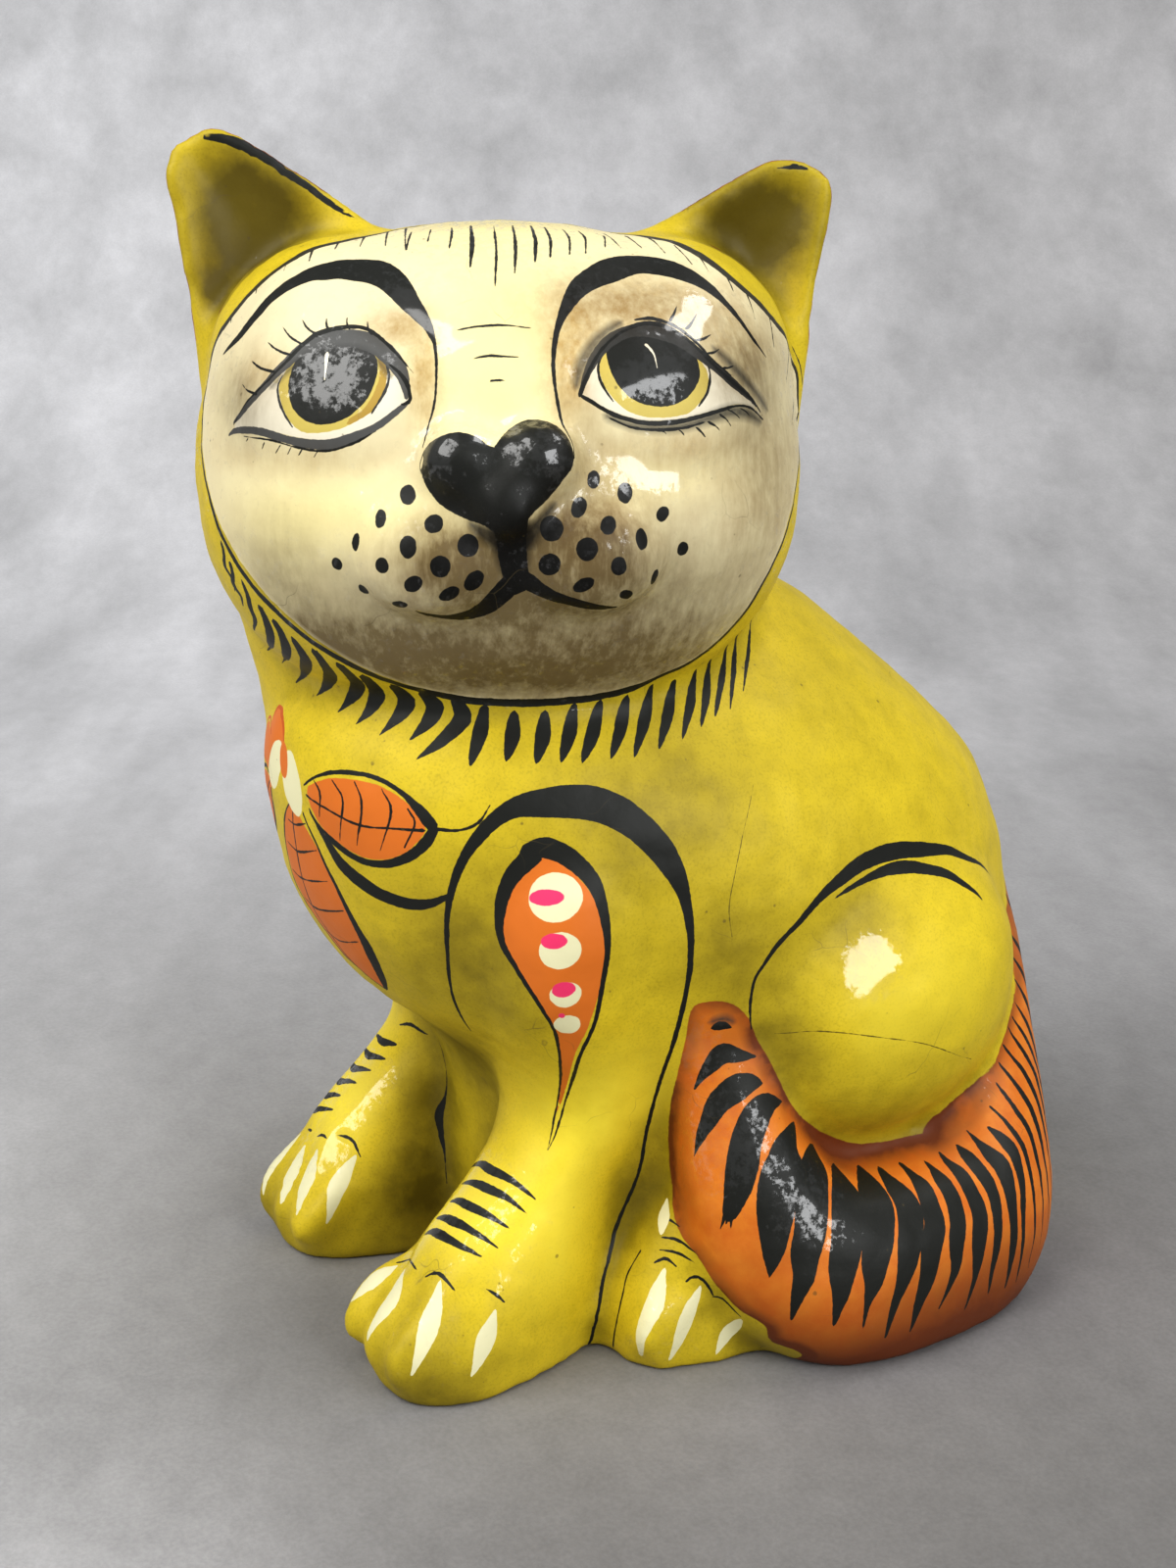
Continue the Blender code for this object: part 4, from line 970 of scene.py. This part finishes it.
# The backs of the ears, orange round to their rims, with a black line over each and a few strokes.
across, up, above = face_places(places)
ear_height = 0.72 * np.abs(across) + 0.68 * up
ear_edge = np.minimum((0.34 - normals @ out_of_face) * 4 * MM, ear_height - 77 * MM)
ear_edge = np.minimum(ear_edge, 5 * MM - above)
for points, widths in [
        ([(-48, -100, 311.5), (-43, -93, 310.5), (-39.5, -86, 306.5), (-35, -79, 300.5), (-31, -72, 294.5),
          (-27, -67, 290.5)], (0.6, 1.5, 1.4, 1.0, 0.7, 0.3)),
        ([(19, 26, 304), (20.5, 30, 304.3), (22, 35, 303.5)], (0.2, 0.7, 0.4))]:
    stroke(points, widths, around=True)
for root, tip, width in [((-57, -97, 302), (-54, -86, 276), 1.8), ((-53, -88, 301), (-51, -78, 278), 1.8),
                         ((-47, -78, 297), (-45, -69, 280), 1.6), ((5, 31, 301), (3, 22, 276), 1.8),
                         ((12, 39, 300), (9, 31, 274), 1.8), ((19, 44, 294), (14, 38, 272), 1.6)]:
    stroke([root, halfway(root, tip), tip], (0.5, width, 0.12))


# ---- The lacquer -------------------------------------------------------------------------------
# Thick glossy lacquer over all of it has yellowed, worn off in places and gathered grime, with specks
# and hairline cracks. Shade is painted in with the grime: brown in the eye sockets, grey on the muzzle
# and chin, olive in every hollow and low down; paler yellow is painted where light falls fullest.

face_flat = np.column_stack([across, up])
inside_face = np.full(vertex_count, -1.0)
before = np.flatnonzero(above > -25 * MM)
inside_face[before] = edge_distance(face_flat[before], closed(face_outline) * MM)
face_edge = np.minimum(inside_face, above + 3.5 * MM)

# How deep each place lies in a hollow, in millimetres, from the shell's own smoothed form.
edge_ends = np.empty(len(skin.edges) * 2, np.int32)
skin.edges.foreach_get("vertices", edge_ends)
edge_ends = edge_ends.reshape(-1, 2)
neighbours = np.bincount(edge_ends.ravel(), minlength=vertex_count)[:, None]
levelled = places.copy()
for _ in range(30):
    gathered = np.zeros_like(levelled)
    for axis in range(3):
        gathered[:, axis] = np.bincount(edge_ends[:, 0], levelled[edge_ends[:, 1], axis], vertex_count)
        gathered[:, axis] += np.bincount(edge_ends[:, 1], levelled[edge_ends[:, 0], axis], vertex_count)
    levelled = 0.3 * levelled + 0.7 * gathered / neighbours
recess = ((levelled - places) * normals).sum(axis=1) / MM


def veils(*smudges):
    """Soft smudges on the face, each given as across, up, reach across, reach up and strength."""
    total = np.zeros(vertex_count)
    for x, y, wide, high, strength in smudges:
        far = ((across / MM - x) / wide) ** 2 + ((up / MM - y) / high) ** 2
        total += strength * np.exp(-far) * (above > -25 * MM)
    return np.clip(total, 0, 1)


# Grime on the muzzle and round the eyes, with painted shade where the face turns down under the chin and
# jaw; ochre in the eye sockets and beside the nose, partly painted shade too. Warmth is a paler, yellower
# cream, partly the paint's own tone and partly painted highlight on the forehead and cheeks.
grime_and_painted_shade = veils((-12, -17, 14, 11, 1.0), (18, -16, 16, 13, 1.2), (-36, -38, 30, 11, 0.9),
              (42, -32, 26, 16, 0.6), (8, -45, 44, 11, 0.95), (57, 26, 9, 9, 0.6), (2, -22, 10, 10, 1.0),
              (-60, 18, 8, 9, 0.6), (64, 6, 12, 26, 0.5), (18, 8, 6, 8, 0.4), (-2, 62, 50, 3.5, 0.4),
              (-52, -18, 13, 14, 0.45), (36, 41, 22, 6, 0.3))
ochre_and_painted_shade = veils((-17.5, 23, 4, 11, 1.0), (16, 25, 5.5, 12, 1.0), (31, 40, 22, 8, 1.0), (-23, 36, 7, 4, 0.9),
              (42, 8, 22, 6, 0.45), (-54, 25, 8, 6, 0.5), (20, -10, 16, 14, 0.8), (-12, -16, 14, 10, 0.5),
              (56, 30, 10, 10, 0.6), (-46, 6, 20, 4, 0.4), (16, -44, 40, 9, 0.35), (62, -6, 14, 16, 0.4))
warmth_and_painted_highlight = veils((-1, 30, 14, 26, 1.0), (-32, -6, 26, 9, 0.7), (4, 60, 34, 9, 0.6), (36, 1, 16, 7, 0.5),
               (-50, -12, 14, 16, 0.35))
nose_dust = veils((-10, 6, 10, 9, 1.0), (8, 7, 10, 10, 1.0), (1, -4, 10, 8, 0.8))
pupils = veils((-37.5, 23.5, 12, 11, 0.9), (35.5, 25, 11, 10, 0.9))
pupil_sheen = veils((-38, 24, 9, 8, 1.05), (36, 24.5, 6.5, 5.5, 1.45), (28, 23, 3, 3, 1.2))
cheek_sheen = veils((36, 3.5, 10, 5, 0.68), (32, 39, 15, 5, 0.6), (46, 34, 6, 6, 0.55), (15, -3, 3, 6, 0.5),
                    (-22, 38, 7, 6, 0.7), (-15, 8, 5, 5, 0.5), (10, 7, 5, 5, 0.35), (0, 30, 14, 26, 0.6))


def blots(*lumps):
    """Soft blots on both flanks, each given as a place, a reach and a strength; one below 0 takes away,
    and in the painted shade paints paler, as where light falls.
    """
    total = np.zeros(vertex_count)
    folded = np.column_stack([np.abs(places[:, 0] / MM - MID_PLANE) + MID_PLANE, places[:, 1:] / MM])
    for middle, reach, strength in lumps:
        total += strength * np.exp(-((folded - middle) ** 2).sum(axis=1) / reach ** 2)
    return np.clip(total, -1, 1)


# Grime with painted shade between the legs, under the chest, on the shoulders, beside the haunches and
# along the floor; the blots below 0 paint the legs and haunch paler where light falls fullest.
body_grime_and_painted_light = blots(((43, -73, 118), 22, 0.65), ((60, -40, 150), 20, 0.4), ((60, -20, 162), 18, 0.3),
                  ((69, -14, 114), 18, 0.5), ((71, 0, 88), 15, 0.6), ((46, -28, 45), 18, 0.65),
                  ((12, -58, 20), 19, 0.9), ((12, -54, 46), 14, 0.5), ((0, -52, 80), 22, 0.8),
                  ((72, 30, 62), 14, 0.3), ((50, -92, 2), 16, 0.35), ((92, 28, 8), 22, 0.6),
                  ((92, 62, 14), 26, 0.6), ((72, 0, 8), 20, 0.4), ((48, -42, 72), 20, -0.9),
                  ((52, -55, 42), 16, -0.7), ((30, -74, 40), 16, -0.8), ((74, 22, 122), 13, 0.45),
                  ((51, 30, 165), 22, 0.14), ((80, 22, 94), 16, -0.35), ((76, 45, 100), 18, -0.3),
                  ((48, -92, 8), 18, 0.3), ((38, -88, 34), 10, 0.2), ((83, -10, 34), 12, 0.5))
body_shine = 0.2 + blots(((77, 22, 107), 9, 0.62), ((76, 23, 112), 5, 0.3), ((52, -66, 42), 20, 0.25),
                         ((60, -30, 12), 24, 0.3), ((45, -90, 16), 22, 0.25), ((27, -68, 50), 13, 0.42),
                         ((25, -84, 34), 11, 0.4))
tail_shine = 0.36 + blots(((71, -18, 66), 14, 0.25), ((84, 1, 48), 12, 0.2), ((61, -22, 90), 8, 0.3))
shine = np.where(tail_edge > 0, tail_shine, body_shine)
ear_shine = 0.36
face_shine = 0.44 + 0.5 * cheek_sheen - 0.3 * np.clip(pupils - pupil_sheen, 0, 1) + 0.17 * pupil_sheen
shine = np.where(face_edge > -3 * MM, np.minimum(face_shine - 0.1 * nose_dust, 0.95), shine)
shine[ear_height > 72 * MM] = ear_shine

# The ears' hollows are painted dark olive, deepest in their middles. On the body the grime and
# painted shade are told by the blots above.
ear_hollow_olive = veils((-61, 63, 16, 19, 1.2), (-71, 45, 4, 6, 0.8), (67, 61, 18, 15, 1.2))
ear_hollow_olive *= (above < 12 * MM) & (above > -22 * MM)
darkening_and_painted_light = np.where(ear_height > 66 * MM, ear_hollow_olive, body_grime_and_painted_light)

for name, columns in [("ground", (face_edge, tail_edge, ear_edge)), ("tints", (grime_and_painted_shade, ochre_and_painted_shade, warmth_and_painted_highlight)),
                      ("hollows", (recess, darkening_and_painted_light, shine))]:
    kept = skin.attributes.new(name, "FLOAT_VECTOR", "POINT")
    kept.data.foreach_set("vector", np.column_stack(columns).astype(np.float32).ravel())
for coat in range(COATS):
    kept = skin.attributes.new(f"mark_{coat}", "FLOAT_VECTOR", "CORNER")
    kept.data.foreach_set("vector", marks[coat].ravel())
    kept = skin.attributes.new(f"paint_{coat}", "FLOAT_VECTOR", "FACE")
    kept.data.foreach_set("vector", paints[coat].ravel())


def linear_rgba(red, green, blue):
    """A paint's colour with the fourth number that a shader socket asks for."""
    return (*linear(red, green, blue), 1)


def kept_on_shell(name):
    """What the shell's own mesh keeps under a name."""
    return Wire.make("Attribute", {"attribute_name": name}, outlet=1)


def axis_of(vector, axis):
    """One of the three numbers of a vector."""
    return Wire.make("SeparateXYZ", outlet=axis, Vector=vector)


def above_zero(value, softness):
    """1 where the value is above 0 and 0 below it, with a soft step between."""
    return clamped(value * (1 / softness) + 0.5)


lacquer, lacquer_shader = new_material("lacquered_paint")
on_cat = Wire.make("TexCoord", outlet=3)

# The ground colours: yellow body, orange tail and ears, cream face.
fine = noise(on_cat, 700.0, 2.0)
broad = noise(on_cat, 45.0, 3.0, 0.6)
mottle = noise(on_cat, 130.0, 4.0, 0.6)
wobble = (fine - 0.5) * (0.35 * MM) + (noise(on_cat, 170.0) - 0.5) * (0.45 * MM)

hollows = kept_on_shell("hollows")
# Olive dirt at random, with patina and painted shade deeper in the hollows and near the floor.
low_down = clamped(1 - axis_of(on_cat, 2) * (1 / 0.012))
dirt_and_shade = clamped(axis_of(hollows, 0) * 0.55 + (mottle - 0.5) * 0.5 - 0.12 + low_down * 0.4)
yellow = mixed(clamped(broad * 2.2 - 0.6), linear_rgba(222, 196, 42), linear_rgba(204, 180, 40))
yellow = mixed(clamped(mottle * 3.4 - 1.5) * 0.36, yellow, linear_rgba(172, 152, 26))
grain = noise(on_cat, 1500.0, 2.0)
yellow = mixed(clamped(grain * 5 - 2.5) * 0.28, yellow, linear_rgba(150, 132, 22))
yellow = mixed(dirt_and_shade * 0.7, yellow, linear_rgba(118, 104, 16))
# Paler yellow is painted where the blots ask for light; olive where they ask for shade, and in the ears'
# hollows.
yellow = mixed(clamped(axis_of(hollows, 1) * -1) * (0.5 + mottle), yellow, linear_rgba(250, 228, 70))
olive_darkening = clamped(axis_of(hollows, 1) * (1.15 + (broad - 0.5) * 0.9 + (mottle - 0.5) * 0.7))
yellow = mixed(olive_darkening * 0.92, yellow, linear_rgba(88, 76, 16))

ground = kept_on_shell("ground")
orange = mixed(clamped(mottle * 2.4 - 0.8), linear_rgba(208, 112, 32), linear_rgba(226, 138, 46))
# The orange darkens with dirt, and with painted shade along the tail's edges and towards the floor.
near_edge = clamped(1 - axis_of(ground, 1) * (1 / (4.5 * MM))) * clamped(mottle * 2.4 - 0.3)
near_floor = clamped(1 - axis_of(on_cat, 2) * (1 / 0.03))
tail_dirt_and_shade = clamped(dirt_and_shade * 0.9 + olive_darkening * 0.5 + near_edge * 0.65 + near_floor * 0.85)
orange = mixed(tail_dirt_and_shade, orange, linear_rgba(112, 56, 24))
colour = mixed(above_zero(axis_of(ground, 1) + wobble, 0.25 * MM), yellow, orange)
colour = mixed(above_zero(axis_of(ground, 2) + wobble, 0.25 * MM), colour, orange)

tints = kept_on_shell("tints")
cream = mixed(clamped(mottle * 2.4 - 0.8), linear_rgba(234, 222, 180), linear_rgba(226, 212, 172))
# The paler, yellower cream, partly painted highlight on the forehead, bridge and cheeks.
cream = mixed(axis_of(tints, 2) * 0.85, cream, linear_rgba(250, 236, 166))
colour = mixed(above_zero(axis_of(ground, 0) + wobble, 0.2 * MM), colour, cream)

# The marks of the brush, earliest first.
for coat in range(COATS):
    paint = kept_on_shell(f"paint_{coat}")
    mark = kept_on_shell(f"mark_{coat}")
    thin = Wire.sum("LESS_THAN", axis_of(paint, 0), 0.0)
    flat = Wire.make("VectorMath", {"operation": "MULTIPLY"}, i0=mark, i1=(1, 1, 0))
    away = Wire.make("VectorMath", {"operation": "LENGTH"}, outlet=1, i0=flat)
    edge = axis_of(mark, 2) - away + wobble
    cover = clamped(edge / (thin * (1.9 * MM) + 0.14 * MM) + 0.5) * (1 - thin * (0.35 * fine))
    solid_paint = Wire.make("VectorMath", {"operation": "ABSOLUTE"}, i0=paint)
    colour = mixed(cover, colour, solid_paint)

# Grime over the paint, partly painted shade on the face's lower parts and in the eye sockets, then
# specks and cracks.
on_mask = above_zero(axis_of(ground, 0), 2 * MM)
streaked = Wire.make("VectorMath", {"operation": "MULTIPLY"}, i0=on_cat, i1=(1, 1, 0.25))
streaks = noise(streaked, 420.0, 3.0, 0.7)
grey_grime_and_shade = clamped(axis_of(tints, 0) * (streaks * 0.9 + mottle * 0.6 + 0.25)) * on_mask
brown_grime_and_shade = clamped(axis_of(tints, 1) * (streaks * 1.2 + mottle * 1.2 - 0.4)) * on_mask
colour = mixed(brown_grime_and_shade * 0.85, colour, linear_rgba(184, 152, 92), "MULTIPLY")
colour = mixed(grey_grime_and_shade, colour, linear_rgba(138, 129, 112), "MULTIPLY")

specks = Wire.make("TexVoronoi", {"feature": "F1"}, Vector=on_cat, Scale=230.0, Randomness=1.0)
speck_room = clamped(mottle * 4.0 - 1.9) * 0.2
colour = mixed(clamped((speck_room - specks) * 14) * 0.55, colour, linear_rgba(84, 72, 40))
warp = noise(on_cat, 60.0, 2.0, colour=True)
bent = Wire.make("VectorMath", {"operation": "MULTIPLY_ADD"}, i0=warp, i1=(0.016, 0.016, 0.016), i2=on_cat)
crack_scale = 26.0
crack_width = 0.14 * MM
cracks = Wire.make("TexVoronoi", {"feature": "DISTANCE_TO_EDGE"}, Vector=bent, Scale=crack_scale)
crack_line = clamped(1 - cracks * (1 / (crack_scale * crack_width))) * clamped(broad * 9 - 4.9)
colour = mixed(crack_line * 0.55, colour, linear_rgba(88, 76, 48))

# The coat of lacquer itself: rippled, and worn to the paint wherever little of it is left.
ripple = noise(on_cat, 330.0, 2.0) * 0.5 + noise(on_cat, 95.0, 1.0) * 1.4
relief = Wire.make("Bump", Strength=0.3, Distance=0.0006, Height=ripple)
worn = noise(on_cat, 480.0, 4.0, 0.7)
varnish = clamped((axis_of(hollows, 2) * 1.25 - 0.12 - worn) * 9)
plug(lacquer_shader, Base_Color=colour, Roughness=0.5, Specular_IOR_Level=0.3, Coat_Weight=varnish,
     Coat_Roughness=0.08, Coat_IOR=1.68, Normal=relief)
skin.materials.append(lacquer)

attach(shell, "root")
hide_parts("cat")
